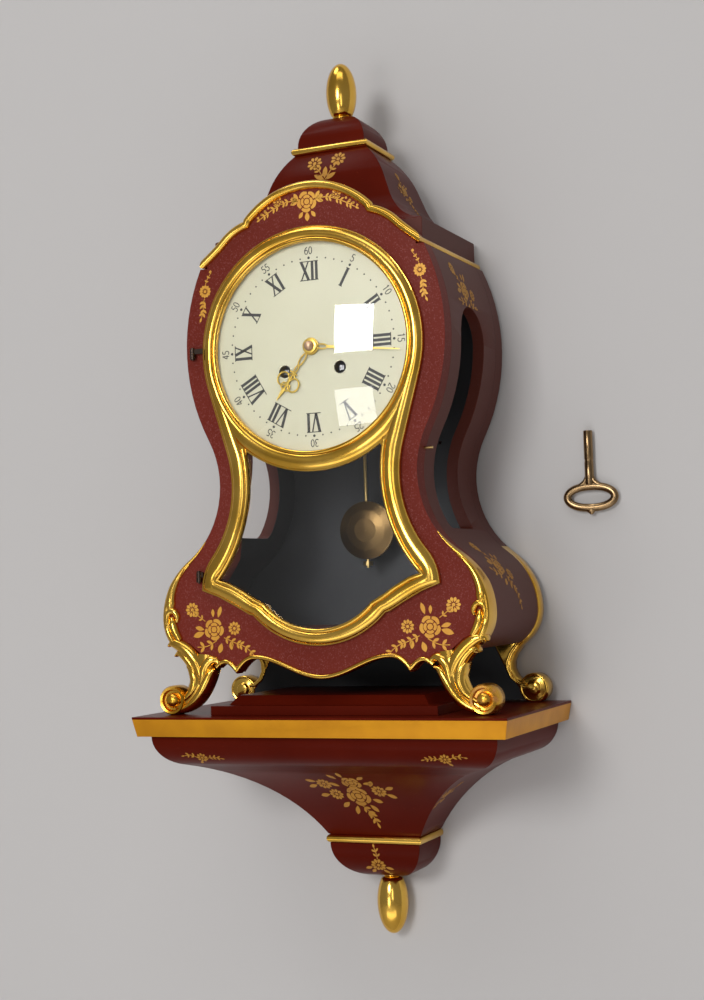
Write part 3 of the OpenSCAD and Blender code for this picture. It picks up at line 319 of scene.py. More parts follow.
def dressed(node, material, body, soften=0.35, angle=24, squeeze=None, inner=()):
    """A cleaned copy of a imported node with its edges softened; inner holds more finishes and their rules."""
    bm = node_copy(node)
    bmesh.ops.dissolve_limit(bm, angle_limit=math.radians(0.6), verts=list(bm.verts), edges=list(bm.edges))
    if squeeze:
        squeeze(bm)
    if soften:
        sharp = [e for e in bm.edges if e.is_manifold and e.calc_face_angle(0) > math.radians(32)]
        bmesh.ops.bevel(bm, geom=sharp, offset=soften * MM, segments=2, profile=0.5, affect="EDGES",
                        clamp_overlap=True, material=-1)
    if inner:
        bmesh.ops.recalc_face_normals(bm, faces=bm.faces)
        for face in bm.faces:
            for k, (_, rule) in enumerate(inner, 1):
                if rule(face):
                    face.material_index = k
    obj = piece(node + "_dressed", bm, material, body, (node,), angle)
    for finish, _ in inner:
        obj.data.materials.append(finish)


# Finishes

def node_group(name, outputs, inputs):
    """A shader group with named sockets."""
    group = bpy.data.node_groups.new(name, "ShaderNodeTree")
    for label, kind, value in inputs:
        socket = group.interface.new_socket(label, in_out="INPUT", socket_type=kind)
        if value is not None:
            socket.default_value = value
    for label, kind in outputs:
        group.interface.new_socket(label, in_out="OUTPUT", socket_type=kind)
    return group, group.nodes.new("NodeGroupInput"), group.nodes.new("NodeGroupOutput")


def noise(tree, vector, scale, detail=3.0, roughness=0.55):
    """Noise at a scale that is a value or a socket."""
    n = tree.nodes.new("ShaderNodeTexNoise")
    n.inputs["Detail"].default_value = detail
    n.inputs["Roughness"].default_value = roughness
    tree.links.new(vector, n.inputs["Vector"])
    feed(tree, n.inputs["Scale"], scale)
    return n.outputs["Fac"]


def feed(tree, socket, source):
    """Sets a socket to a value or links it to another socket."""
    if isinstance(source, (int, float)):
        socket.default_value = source
    elif isinstance(source, tuple):
        socket.default_value = (*source, 1)
    else:
        tree.links.new(source, socket)


def steps_between(tree, value, low, high, start=0.0, end=1.0):
    """Maps a value from low..high to start..end."""
    n = tree.nodes.new("ShaderNodeMapRange")
    for key, source in (("Value", value), ("From Min", low), ("From Max", high), ("To Min", start),
                        ("To Max", end)):
        feed(tree, n.inputs[key], source)
    return n.outputs["Result"]


def blend(tree, factor, a, b):
    """Mixes two colours."""
    n = tree.nodes.new("ShaderNodeMix")
    n.data_type = "RGBA"
    tree.links.new(factor, n.inputs["Factor"])
    for key, source in (("A", a), ("B", b)):
        feed(tree, [s for s in n.inputs if s.name == key and s.type == "RGBA"][0], source)
    return [s for s in n.outputs if s.type == "RGBA"][0]


def see_through(tree, shader, mask):
    """Makes a surface clear where a mask is one."""
    mix = tree.nodes.new("ShaderNodeMixShader")
    tree.links.new(mask, mix.inputs[0])
    tree.links.new(shader.outputs[0], mix.inputs[1])
    tree.links.new(tree.nodes.new("ShaderNodeBsdfTransparent").outputs[0], mix.inputs[2])
    tree.links.new(mix.outputs[0], tree.nodes["Material Output"].inputs["Surface"])


def mottle_group():
    """Broad colour drift and fine speckle for lacquer."""
    group, into, out = node_group(
        "lacquer_mottle", [("Drift", "NodeSocketFloat"), ("Speckle", "NodeSocketFloat")],
        [("Vector", "NodeSocketVector", None), ("Drift Scale", "NodeSocketFloat", 12.0),
         ("Speckle Scale", "NodeSocketFloat", 900.0), ("Speckle Cut", "NodeSocketFloat", 0.56)])
    given = into.outputs
    drift = noise(group, given["Vector"], given["Drift Scale"], 4.0)
    fine = noise(group, given["Vector"], given["Speckle Scale"], 2.0, 0.7)
    group.links.new(steps_between(group, drift, 0.3, 0.7), out.inputs["Drift"])
    group.links.new(steps_between(group, fine, given["Speckle Cut"], 0.8), out.inputs["Speckle"])
    return group


def leaf_group():
    """Worn gold leaf: patches where the clay shows, tone drift and small dents."""
    group, into, out = node_group(
        "gold_leaf", [("Wear", "NodeSocketFloat"), ("Tone", "NodeSocketFloat"), ("Dents", "NodeSocketFloat")],
        [("Vector", "NodeSocketVector", None), ("Wear Scale", "NodeSocketFloat", 60.0),
         ("Wear Cut", "NodeSocketFloat", 0.66), ("Dent Scale", "NodeSocketFloat", 160.0)])
    given = into.outputs
    patch = noise(group, given["Vector"], given["Wear Scale"], 6.0, 0.7)
    tone = noise(group, given["Vector"], 34.0, 3.0)
    dents = noise(group, given["Vector"], given["Dent Scale"], 3.0)
    group.links.new(steps_between(group, patch, given["Wear Cut"], 0.78), out.inputs["Wear"])
    group.links.new(steps_between(group, tone, 0.35, 0.65), out.inputs["Tone"])
    group.links.new(dents, out.inputs["Dents"])
    return group


GROUPS = {}


def new_finish(name, **plain):
    """A material with a Principled shader and object coordinates; plain values are set on the shader."""
    mat = bpy.data.materials.new(name)
    mat.use_nodes = True
    tree = mat.node_tree
    shader = tree.nodes["Principled BSDF"]
    for key, value in plain.items():
        socket = shader.inputs[key.replace("_", " ")]
        socket.default_value = (*value, 1) if isinstance(value, tuple) else value
    coords = tree.nodes.new("ShaderNodeTexCoord").outputs["Object"]
    return mat, tree, shader, coords


def use_group(tree, key, coords, **values):
    """Adds a shared group with its own socket values and returns its outputs."""
    n = tree.nodes.new("ShaderNodeGroup")
    n.node_tree = GROUPS[key]
    tree.links.new(coords, n.inputs["Vector"])
    for label, value in values.items():
        n.inputs[label.replace("_", " ")].default_value = value
    return n.outputs


def bump(tree, shader, height, strength, distance=0.0004):
    """Small relief from a height."""
    n = tree.nodes.new("ShaderNodeBump")
    n.inputs["Strength"].default_value = strength
    n.inputs["Distance"].default_value = distance
    tree.links.new(height, n.inputs["Height"])
    tree.links.new(n.outputs["Normal"], shader.inputs["Normal"])


def lacquer(name, base, drifted, speck, rough, cut=0.68, scale=900.0, sheen=0.2):
    """Coloured lacquer with drift and speckle."""
    mat, tree, shader, coords = new_finish(name, Roughness=rough, Coat_Weight=0.0, Specular_IOR_Level=sheen)
    marks = use_group(tree, "mottle", coords, Speckle_Cut=cut, Speckle_Scale=scale)
    colour = blend(tree, marks["Drift"], base, drifted)
    colour = blend(tree, marks["Speckle"], colour, speck)
    tree.links.new(colour, shader.inputs["Base Color"])
    bump(tree, shader, marks["Speckle"], 0.12, 0.0002)
    return mat


def gilding(name, bright, deep, clay, rough, wear_cut, wear_scale=60.0, dents=0.16, dent_scale=160.0,
            metal=1.0):
    """Gold with tone drift and clay showing in worn patches."""
    mat, tree, shader, coords = new_finish(name, Roughness=rough)
    marks = use_group(tree, "leaf", coords, Wear_Cut=wear_cut, Wear_Scale=wear_scale, Dent_Scale=dent_scale)
    colour = blend(tree, marks["Tone"], bright, deep)
    colour = blend(tree, marks["Wear"], colour, clay)
    tree.links.new(colour, shader.inputs["Base Color"])
    tree.links.new(steps_between(tree, marks["Wear"], 0.0, 1.0, metal, 0.0), shader.inputs["Metallic"])
    bump(tree, shader, marks["Dents"], dents, 0.0006)
    return mat


def plain_metal(name, colour, rough, streak=0.1):
    """Metal with a fine grain."""
    mat, tree, shader, coords = new_finish(name, Metallic=1.0, Roughness=rough)
    grain = noise(tree, coords, 240.0, 3.0)
    dark = tuple(c * (1 - 2.2 * streak) for c in colour)
    tree.links.new(blend(tree, grain, dark, colour), shader.inputs["Base Color"])
    bump(tree, shader, grain, 0.06, 0.0001)
    return mat


def clouded(name, low, high, scale, spread=None, **plain):
    """A plain finish whose colour drifts between two shades."""
    mat, tree, shader, coords = new_finish(name, **plain)
    cloud = noise(tree, coords, scale, 3.0 if spread else 2.0)
    if spread:
        cloud = steps_between(tree, cloud, *spread)
        bump(tree, shader, cloud, 0.02)
    tree.links.new(blend(tree, cloud, low, high), shader.inputs["Base Color"])
    return mat


def clear_glass():
    """Clear glass with a slight haze that lets light through to what it covers."""
    mat, tree, shader, coords = new_finish("clear_glass", Base_Color=(1.0, 1.0, 1.0), Roughness=0.0, IOR=1.47,
                                           Transmission_Weight=1.0)
    haze = steps_between(tree, noise(tree, coords, 30.0, 2.0), 0.0, 1.0, 0.0, 0.012)
    tree.links.new(haze, shader.inputs["Roughness"])
    see_through(tree, shader, tree.nodes.new("ShaderNodeLightPath").outputs["Is Shadow Ray"])
    return mat


# Base, drifted and speckle colour, roughness, speckle cut, speckle scale, sheen
LACQUERS = {
    "oxblood_front": ("oxblood_front", (0.150, 0.018, 0.010), (0.180, 0.024, 0.015), (0.32, 0.10, 0.09),
                      0.45, 0.56, 1100.0, 0.1),
    "case_sides": ("case_sides", (0.098, 0.023, 0.015), (0.120, 0.030, 0.021), (0.15, 0.06, 0.055),
                   0.42, 0.6, 900.0, 0.15),
    "lacquer": ("lacquer_red", (0.085, 0.006, 0.002), (0.115, 0.009, 0.003), (0.15, 0.016, 0.006),
                0.28, 0.68, 500.0, 0.04),
    "inside": ("inside_black", (0.035, 0.037, 0.040), (0.046, 0.048, 0.052), (0.06, 0.06, 0.065), 0.6, 0.7),
}
# Bright, deep and clay colour, roughness, wear cut and scale, dents and their scale, share of metal
GILDINGS = {
    "leaf_gilt": ("leaf_gilt", (0.94, 0.58, 0.11), (0.76, 0.42, 0.055), (0.33, 0.055, 0.02),
                  0.17, 0.64, 55.0, 0.22, 110.0),
    "leaf_bole": ("leaf_bole", (0.88, 0.50, 0.07), (0.70, 0.36, 0.03), (0.55, 0.19, 0.11),
                  0.26, 0.53, 70.0, 0.3, 110.0),
    "gilt": ("satin_gilt", (0.94, 0.58, 0.11), (0.76, 0.43, 0.055), (0.42, 0.12, 0.02),
             0.18, 0.7, 40.0, 0.1, 90.0),
    "gilt_flat": ("bronze_paint", (0.76, 0.33, 0.004), (0.64, 0.26, 0.003), (0.3, 0.1, 0.02),
                  0.4, 0.7, 80.0, 0.15, 400.0, 0.55),
    "gilt_paint": ("gilt_paint", (0.80, 0.41, 0.05), (0.70, 0.32, 0.03), (0.40, 0.14, 0.05),
                   0.4, 0.62, 300.0, 0.1, 500.0, 0.25),
    "gilt_worn": ("gilt_paint_worn", (0.60, 0.29, 0.025), (0.46, 0.20, 0.015), (0.20, 0.05, 0.02),
                  0.5, 0.55, 220.0, 0.1, 500.0, 0.2),
    "gilt_hands": ("gilt_hands", (0.86, 0.62, 0.14), (0.74, 0.50, 0.09), (0.5, 0.25, 0.08), 0.28, 0.74),
}
# Colour, roughness, streak
METALS = {
    "brass": ((0.70, 0.50, 0.20), 0.28),
    # Brass for the pendulum bob, darkened nearly to brown-black as painted shade: it stands for the door frame's
    # shadow over the bob
    "brass_painted_shade": ((0.12, 0.075, 0.03), 0.3),
    "bell_bronze": ((0.66, 0.47, 0.22), 0.2),
    "steel": ((0.36, 0.36, 0.37), 0.32),
    "dark_pin": ((0.07, 0.05, 0.04), 0.35),
    "key_brass": ((0.40, 0.26, 0.13), 0.25, 0.25),
}
FINISH = {}


def make_finishes():
    """Fills the table of finishes."""
    GROUPS["mottle"] = mottle_group()
    GROUPS["leaf"] = leaf_group()
    for key, values in LACQUERS.items():
        FINISH[key] = lacquer(*values)
    for key, values in GILDINGS.items():
        FINISH[key] = gilding(*values)
    for key, values in METALS.items():
        FINISH[key] = plain_metal(key, *values)
    FINISH["dial_enamel"] = clouded("dial_enamel", (0.445, 0.432, 0.305), (0.475, 0.462, 0.335), 14.0,
                                    (0.3, 0.7), Roughness=0.35, Coat_Weight=0.3, Coat_Roughness=0.1)
    FINISH["dial_ink"] = clouded("dial_ink", (0.006, 0.006, 0.006), (0.02, 0.019, 0.018), 500.0, Roughness=0.45)
    FINISH["hand_nut"] = clouded("hand_nut", (0.40, 0.25, 0.15), (0.55, 0.36, 0.24), 300.0,
                                 Metallic=0.75, Roughness=0.34)
    FINISH["glass"] = clear_glass()


def slot_of(node):
    """The record's material slot of a node."""
    for entry in frame["record"]["subparts"]:
        if entry["node"] == node:
            return entry["material_slot"]
    raise RuntimeError("no slot for " + node)


class CLOCK_PG_sizes(bpy.types.PropertyGroup):
    """Sizes of the clock's gilding and hands, in millimetres, and the wall's colour."""
    crest_bead: bpy.props.FloatProperty(
        name="Crest bead", description="Half width of the bead along the crest", default=2.9)
    band: bpy.props.FloatProperty(
        name="Door band", description="Width of the door's outer gilt band", default=7.6)
    sight_bead: bpy.props.FloatProperty(
        name="Sight bead", description="Width of the bead round the glasses", default=2.9)
    edge: bpy.props.FloatProperty(
        name="Gilt edge", description="Width of the gilt edge of the case", default=2.6)
    minute_length: bpy.props.FloatProperty(
        name="Minute hand", description="Length of the minute hand", default=63.0)
    hour_length: bpy.props.FloatProperty(
        name="Hour hand", description="Length of the hour hand", default=42.0)
    spray_lift: bpy.props.FloatProperty(
        name="Spray thickness", description="Thickness of the painted flowers", default=0.15)
    wall: bpy.props.FloatVectorProperty(
        name="Wall", description="Colour of the wall", subtype="COLOR", size=3, default=(0.61, 0.593, 0.585))


def sizes():
    """The sizes that the panel shows."""
    return bpy.context.scene.clock_sizes


class CLOCK_OT_finishes(bpy.types.Operator):
    """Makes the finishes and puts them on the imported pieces"""
    bl_idname = "clock.finishes"
    bl_label = "Finishes"

    def execute(self, context):
        make_finishes()
        for node, obj in frame["nodes"].items():
            mat = FINISH[slot_of(node)]
            obj.data.materials.clear()
            obj.data.materials.append(mat)
        for node in ("case_hinge_leaves", "door_hinge_leaves", "hinge_pins"):
            frame["nodes"][node].data.materials[0] = FINISH["dark_pin"]
        frame["nodes"]["door_latch_pin"].data.materials[0] = FINISH["brass"]
        frame["nodes"]["winding_key"].data.materials[0] = FINISH["key_brass"]
        # The bob takes the darkened brass, whose dark colour is painted shade from the door frame
        frame["nodes"]["pendulum_bob"].data.materials[0] = FINISH["brass_painted_shade"]
        return {"FINISHED"}


class CLOCK_OT_casework(bpy.types.Operator):
    """Softens the edges of the case and the console"""
    bl_idname = "clock.casework"
    bl_label = "Casework"

    def execute(self, context):
        def rear_edge(f):
            at = f.calc_center_median() / MM
            return abs(f.normal.y) < 0.5 and REAR_EDGE_LOW < at.z - SHELF_Z < REAR_EDGE_HIGH and abs(at.x) > 84

        inside, gold = FINISH["inside"], FINISH["leaf_gilt"]
        for node, inner in (("front_panel", [(inside, lambda f: f.normal.y > 0.5)]),
                            ("back_board", [(inside, lambda f: f.normal.y < -0.5), (gold, rear_edge)]),
                            ("side_panel_right", [(inside, lambda f: f.normal.x < -0.2)]),
                            ("side_panel_left", [(inside, lambda f: f.normal.x > 0.2)])):
            dressed(node, FINISH[slot_of(node)], "case", inner=inner)
        for node in ("base_board", "hood_plinth", "hood_roof", "hood_cap"):
            dressed(node, FINISH[slot_of(node)], "case")
        dressed("hood_bead", FINISH["gilt"], "case", 0.2)
        for node in ("bracket_top_board", "bracket_steps", "bracket_body", "bracket_lower_block"):
            dressed(node, FINISH["lacquer"], "console")


        line = here(0, 0, -1.6)

        def red_line(bm):
            bmesh.ops.bisect_plane(bm, geom=everything(bm), plane_co=line, plane_no=(0, 0, 1))

        dressed("bracket_cornice", FINISH["gilt_flat"], "console", 0.2, squeeze=red_line,
                inner=((FINISH["lacquer"], lambda f: f.calc_center_median().z > line.z),))
        dressed("bracket_bead", FINISH["gilt"], "console", 0.2)
        return {"FINISHED"}


class CLOCK_OT_crest(bpy.types.Operator):
    """Half round gilt bead along the crest and down the sides of the plinth"""
    bl_idname = "clock.crest"
    bl_label = "Crest beads"

    def execute(self, context):
        r = sizes().crest_bead
        bm = bmesh.new()
        section = [(r * math.cos(math.radians(t)), 1.15 * r * math.sin(math.radians(t)))
                   for t in range(180, -1, -15)]
        section += [(r, -0.3), (-r, -0.3)]
        half = [p for p in crest(r * 0.5 + 0.6) if p.x < 72]
        side_x, side_z = 75.0, 299.4
        way = (half[-1] - half[-2]).normalized()
        up = Vector((-way.y, way.x))
        rings = []
        for y in (BACK_Y, BACK_Y - 0.5, -60, PANEL_Y + 5):
            k = 0.75 if y == BACK_Y else 1.0
            rings.append([(side_x + 1.2 * f * k, y, side_z + o * k) for o, f in section])
        corner = []
        for o, f in section:
            x = side_x + 1.2 * f
            reach = (x - half[-1].x - up.x * o) / way.x
            corner.append((x, PANEL_Y - f, half[-1].y + up.y * o + reach * way.y))
        rings.append(corner)
        front = []
        for i, p in enumerate(half):
            a, b = half[max(i - 1, 0)], half[min(i + 1, len(half) - 1)]
            d = (b - a).normalized() if i else Vector((1, 0))
            front.append([(p.x - d.y * o, PANEL_Y - f, p.y + d.x * o) for o, f in section])
        rings += reversed(front)
        mirrored = [[(-x, y, z) for x, y, z in ring] for ring in rings[:-1]]
        skin(bm, [[here(*p) for p in ring] for ring in rings + mirrored[::-1]])
        piece("crest_beads_gilt", bm, FINISH["gilt"], "case", ("crest_beads",))
        return {"FINISHED"}


class CLOCK_OT_door(bpy.types.Operator):
    """Moulded gilt door frame with its outer band and sight beads"""
    bl_idname = "clock.door"
    bl_label = "Door frame"

    def execute(self, context):
        s = sizes()

        def flatten(bm):
            low = (FRAME_Y - 3.4) * MM
            for v in bm.verts:
                v.co.y = max(v.co.y, low)

        dressed("door_frame", FINISH["gilt"], "door", 0, squeeze=flatten)
        bm = bmesh.new()
        w, b = s.band, s.sight_bead
        band = [(0, 0.2), (0, 1.6), (-0.065 * w, 3.0), (-0.21 * w, 4.3), (-0.42 * w, 5.2), (-0.63 * w, 5.6),
                (-0.79 * w, 5.5), (-0.92 * w, 5.1), (-w, 4.5), (-w, 0.2)]
        outer = round_loop(door_outline())
        window = sight_outline()
        ring = [RING_C + SIGHT_R * turn(t) for t in range(90, -91, -3)]

        def room(p):
            """Band width between the outer edge and the nearest glass."""
            at = Vector((abs(p.x), p.y))
            near = min((at - q).length for q in ring + window)
            return min(max(near - b, 0.7 * w), 1.9 * w) / w

        sweep(bm, outer, band, FRAME_Y, closed=True, widths=[room(p) for p in outer])
        low = [RING_C + (RING_OUT + 2.8 * min(1, max(0, (66 - abs(t + 90)) / 24))) * turn(t)
               for t in range(-20, -161, -2)]
        sweep(bm, low, band, FRAME_Y, widths=[((p - RING_C).length - SIGHT_R - b) / w for p in low])
        dome = [(b / 2 - b / 2 * math.cos(math.radians(t)), 3.8 + 1.5 * math.sin(math.radians(t)))
                for t in range(0, 181, 15)]
        bead = [(0.0, 0.6)] + dome + [(b, 0.6)]
        circle = [RING_C + SIGHT_R * turn(-t) for t in range(0, 360, 3)]
        sweep(bm, circle, bead, FRAME_Y, closed=True)
        sweep(bm, window + [Vector((-p.x, p.y)) for p in reversed(window) if p.x > 1e-4], bead, FRAME_Y)
        piece("door_mouldings", bm, FINISH["gilt"], "door")
        bm = bmesh.new()
        shell = []
        out = [70 * k / 24 for k in range(25)]
        for radius, order in ((GLASS_R, out), (GLASS_R - 1.4, out[::-1])):
            shell += [(r, GLASS_CENTRE_Y - math.sqrt(radius ** 2 - r ** 2)) for r in order]
        lathe(bm, shell, here(0, 0, DIAL_Z), (0, 1, 0), 96)
        piece("dial_glass_domed", bm, FINISH["glass"], "door", ("dial_glass",), 30)
        return {"FINISHED"}


SCROLL = Vector((109.8, 9.6))


def scroll(bm, side, y, deep, radius=9.9):
    """The rolled end of a foot: rim, hollow and eye."""
    rim = [(0, deep), (radius - 1.8, deep), (radius - 0.2, deep - 1.6), (radius, 0),
           (radius - 0.2, 1.6 - deep), (radius - 1.2, -deep), (radius - 2.6, 0.4 - deep),
           (radius - 3.4, 2.6 - deep), (5.0, 2.8 - deep)]
    eye = [(4.9 * math.cos(math.radians(t)), 2.2 - deep - 3.4 * math.sin(math.radians(t)))
           for t in range(0, 91, 15)]
    lathe(bm, rim + eye, here(side * SCROLL.x, y, SCROLL.y), (0, 1, 0), 40)


def carved(bm, side, y, deep, strands, flat=0.3, sides=12):
    """Carved strands along (x, z, half width, share of the depth) points."""
    for run in strands:
        spine = [(side * x, z, w, d * deep, max(0, 0.8 - d) * deep) for x, z, w, d in smooth_spine(run)]
        limb(bm, spine, y, flat, sides)


# Strands of a front foot: (x, z, half width, share of the depth)
FOOT = (
    ((86, 40, 6, 0.5), (87, 33, 8.4, 0.84), (89.5, 25, 7.6, 0.86), (93.5, 16.5, 6.6, 0.84), (99, 9.6, 5.2, 0.8),
     (106, 4.8, 3.8, 0.75)),
    ((112.6, 45.6, 0.9, 0.5), (110.4, 47.4, 2.9, 0.9), (105.6, 46.8, 4.5, 1.04), (100, 43.4, 5.2, 1.08),
     (94.8, 38.2, 5.4, 1.08), (90.8, 32.2, 4.8, 1.02), (88.8, 26, 3.2, 0.94), (88.4, 21, 1.4, 0.86)),
    ((107.6, 39.0, 0.9, 0.5), (104.8, 41.0, 2.5, 0.9), (100.4, 38.8, 3.6, 1.0), (96.6, 34.6, 3.9, 1.0),
     (94.0, 29.8, 3.4, 0.97), (92.6, 25, 1.9, 0.9)),
    ((98.4, 32.6, 1.9, 0.8), (95.0, 28.8, 4.0, 0.93), (93.4, 23.4, 4.3, 0.99), (94.6, 17.6, 4.0, 0.98),
     (98.2, 12.8, 3.4, 0.96), (103, 9.4, 2.6, 0.93), (107, 8, 1.4, 0.86)),
    ((73.4, 32.4, 0.9, 0.5), (77.4, 35.8, 3.0, 0.85), (82, 35.2, 4.2, 1.0), (85.8, 30.8, 4.3, 1.02),
     (87.2, 25, 3.8, 0.98), (88.6, 19.6, 2.4, 0.9)),
    ((77.2, 30.0, 1.2, 0.6), (81.0, 28.0, 3.0, 0.92), (84.6, 22.2, 3.9, 1.0), (88.8, 15.0, 4.0, 1.02),
     (94.2, 8.7, 3.8, 1.0), (100.6, 4.6, 3.2, 0.97), (107, 2.8, 2.5, 0.94)),
)
HIP_CURLS = (
    ((98.6, 97.6, 0.8, 0.35), (103.6, 91.6, 1.9, 0.75), (107.6, 84.8, 2.9, 0.95), (109.6, 78.6, 3.3, 1.05),
     (110.2, 73.8, 3.9, 1.12), (109.6, 70.2, 2.6, 0.95)),
    ((105.4, 61.6, 1.2, 0.75), (104.9, 65.4, 2.0, 1.0), (107.6, 69.0, 2.4, 1.08), (111.4, 68.0, 2.4, 1.08),
     (112.6, 64.0, 2.0, 1.0), (112.2, 60.4, 1.2, 0.8)),
    ((109.0, 65.0, 1.2, 0.6), (108.7, 60.6, 2.9, 1.0), (107.0, 55.0, 3.2, 1.06), (103.6, 49.4, 2.4, 0.95)),
    ((113.0, 61.4, 1.0, 0.6), (112.4, 57.0, 2.2, 0.95), (110.4, 51.8, 2.3, 0.98), (107.4, 47.4, 1.6, 0.85)),
)
BACK_FOOT_Y = -10.6
BACK_FOOT = ((101.6, 39.6), (96.8, 33.2), (94.4, 27.8), (94.2, 22.4), (97, 16.4), (102.4, 12.4), (107, 12))
BACK_FOOT_SOLE = ((99.4, 7.6), (105, 2.6), (111, 1.6), (116.6, 5.0))


class CLOCK_OT_feet(bpy.types.Operator):
    """Carved and gilded feet"""
    bl_idname = "clock.feet"
    bl_label = "Feet"

    def execute(self, context):
        bm = bmesh.new()
        for side in (-1, 1):
            carved(bm, side, -112.0, 7.3, FOOT)
        piece("front_feet_carved", bm, FINISH["leaf_gilt"], "case", ("front_feet",), 50)
        bm = bmesh.new()
        for side in (-1, 1):
            scroll(bm, side, -112.0, 7.6)
        piece("front_scrolls", bm, FINISH["leaf_bole"], "case", (), 50)
        dressed("back_feet", FINISH["leaf_gilt"], "case", 0.9, 40)
        bm = bmesh.new()
        run = [(p.x - 0.9, p.y) for p in flank(REAR_EDGE_HIGH, REAR_EDGE_LOW)] + [(x - 0.9, z) for x, z in BACK_FOOT]
        count = len(run) - 1
        for side in (-1, 1):
            ridge = [(side * x, z, 0.4 + 1.6 * min(1, 3 * i / count), 0.8 + 5.5 * min(1, 4 * i / count))
                     for i, (x, z) in enumerate(run)]
            sole = [(side * x, z, 1.3, 5.8) for x, z in smooth_spine(BACK_FOOT_SOLE)]
            limb(bm, ridge, BACK_FOOT_Y, 0.5, 14)
            limb(bm, [(side * (x - 1.6), z, 1.2, 1.1) for x, z in run[4:]], BACK_FOOT_Y - 6.1, 0.0, 8)
            limb(bm, sole, BACK_FOOT_Y, 0.5, 12)
            scroll(bm, side, BACK_FOOT_Y - 0.1, 6.5)
        piece("back_feet_carved", bm, FINISH["leaf_gilt"], "case", (), 50)
        return {"FINISHED"}


class CLOCK_OT_edges(bpy.types.Operator):
    """Gilt edges and carved curls along the hips and the apron"""
    bl_idname = "clock.edges"
    bl_label = "Gilt edges"

    def execute(self, context):
        w = sizes().edge
        bm = bmesh.new()
        section = [(0.4, 0.6), (0.2, 1.3), (-0.3 * w, 1.8), (-0.7 * w, 1.5), (-w, 0.5), (-w, -1.0),
                   (0.4, -8.0)]
        sweep(bm, list(reversed(both_sides(list(reversed(apron()))))), section, PANEL_Y)
        for side in (-1, 1):
            run = [Vector((side * p.x, p.y)) for p in flank(116, 45)]
            if side < 0:
                run.reverse()
            sweep(bm, run, section, PANEL_Y, scale=[0.12 + 1.4 * min(1, (116 - p.y) / 34) for p in run])
            grow = [(p, min(1, (100 - p.y) / 14)) for p in flank(100, 46)]
            inner = [(side * (p.x - 2.4), p.y, 0.8 + 1.3 * k, 0.8 + 1.6 * k) for p, k in grow]
            limb(bm, inner, PANEL_Y - 0.2, 0.1, 10)
            carved(bm, side, PANEL_Y + 0.2, 3.4, HIP_CURLS, 0.15, 12)
        piece("gilt_edges", bm, FINISH["leaf_gilt"], "case", (), 50)
        return {"FINISHED"}


def egg_profile(length, radius, neck):
    """A collar and an egg cut at its neck."""
    low = -math.acos(neck / radius)
    body = []
    for i in range(1, 27):
        a = low + (math.pi / 2 - low) * i / 27
        body.append((radius * math.cos(a), length * (0.46 + 0.54 * math.sin(a))))
    collar = [(0, 0), (neck + 1.0, 0), (neck + 1.1, 0.6), (neck + 0.7, 1.2), (neck + 0.1, 1.4)]
    return collar + [q for q in body if q[1] > 1.7] + [(0, length)]


class CLOCK_OT_finials(bpy.types.Operator):
    """Gilt egg finials"""
    bl_idname = "clock.finials"
    bl_label = "Finials"

    def execute(self, context):
        bm = bmesh.new()
        lathe(bm, egg_profile(39, 10.5, 5.6), here(0, HOOD_Y, 402.7), (0, 0, 1))
        piece("top_finial_turned", bm, FINISH["leaf_gilt"], "case", ("top_finial",))
        bm = bmesh.new()
        lathe(bm, egg_profile(41, 10.9, 4.8), here(0, -11.5, -119), (0, 0, -1))
        piece("bracket_finial_turned", bm, FINISH["leaf_gilt"], "console", ("bracket_finial",))
        return {"FINISHED"}


ROMAN = ("XII", "I", "II", "III", "IIII", "V", "VI", "VII", "VIII", "IX", "X", "XI")


def roman_strokes(word):
    """Strokes of a Roman numeral as (x0, low, x1, high, width), centred, over a height of 0..1."""
    advance = {"I": 0.235, "V": 0.60, "X": 0.60}
    total = sum(advance[c] for c in word)
    x, strokes = -total / 2, []
    for c in word:
        mid, half = x + advance[c] / 2, advance[c] / 2 - 0.09
        if c == "I":
            strokes.append((mid, 0, mid, 1, 0.15))
        elif c == "V":
            strokes += [(mid - half, 1, mid, 0, 0.15), (mid, 0, mid + half, 1, 0.075)]
        else:
            strokes += [(mid - half, 1, mid + half, 0, 0.15), (mid - half, 0, mid + half, 1, 0.075)]
        x += advance[c]
    strokes.append((-total / 2 + 0.01, 0.015, total / 2 - 0.01, 0.015, 0.045))
    strokes.append((-total / 2 + 0.01, 0.985, total / 2 - 0.01, 0.985, 0.045))
    return strokes


def digit_paths(d):
    """Strokes of one digit in a cell one wide and 1.6 high."""
    def bow(cx, cy, rx, ry, a0, a1, n=9):
        """Points along part of an ellipse."""
        turns = [math.radians(a0 + (a1 - a0) * i / n) for i in range(n + 1)]
        return [(cx + rx * math.cos(t), cy + ry * math.sin(t)) for t in turns]

    loop = bow(0.5, 0.8, 0.4, 0.78, 0, 360, 16)
    return {"0": [loop], "1": [[(0.2, 1.3), (0.5, 1.6), (0.5, 0.0)]],
            "2": [bow(0.48, 1.16, 0.4, 0.42, 170, -40) + [(0.08, 0.04), (0.92, 0.04)]],
            "3": [bow(0.44, 1.2, 0.36, 0.38, 150, -90), bow(0.44, 0.42, 0.42, 0.42, 90, -150)],
            "4": [[(0.68, 0.0), (0.68, 1.6), (0.06, 0.5), (0.96, 0.5)]],
            "5": [[(0.86, 1.56), (0.26, 1.56), (0.2, 0.92)] + bow(0.42, 0.48, 0.46, 0.48, 110, -150)],
            "6": [bow(0.5, 0.46, 0.4, 0.45, 0, 360, 14), bow(1.15, 0.62, 1.05, 0.98, 186, 112)]}[d]


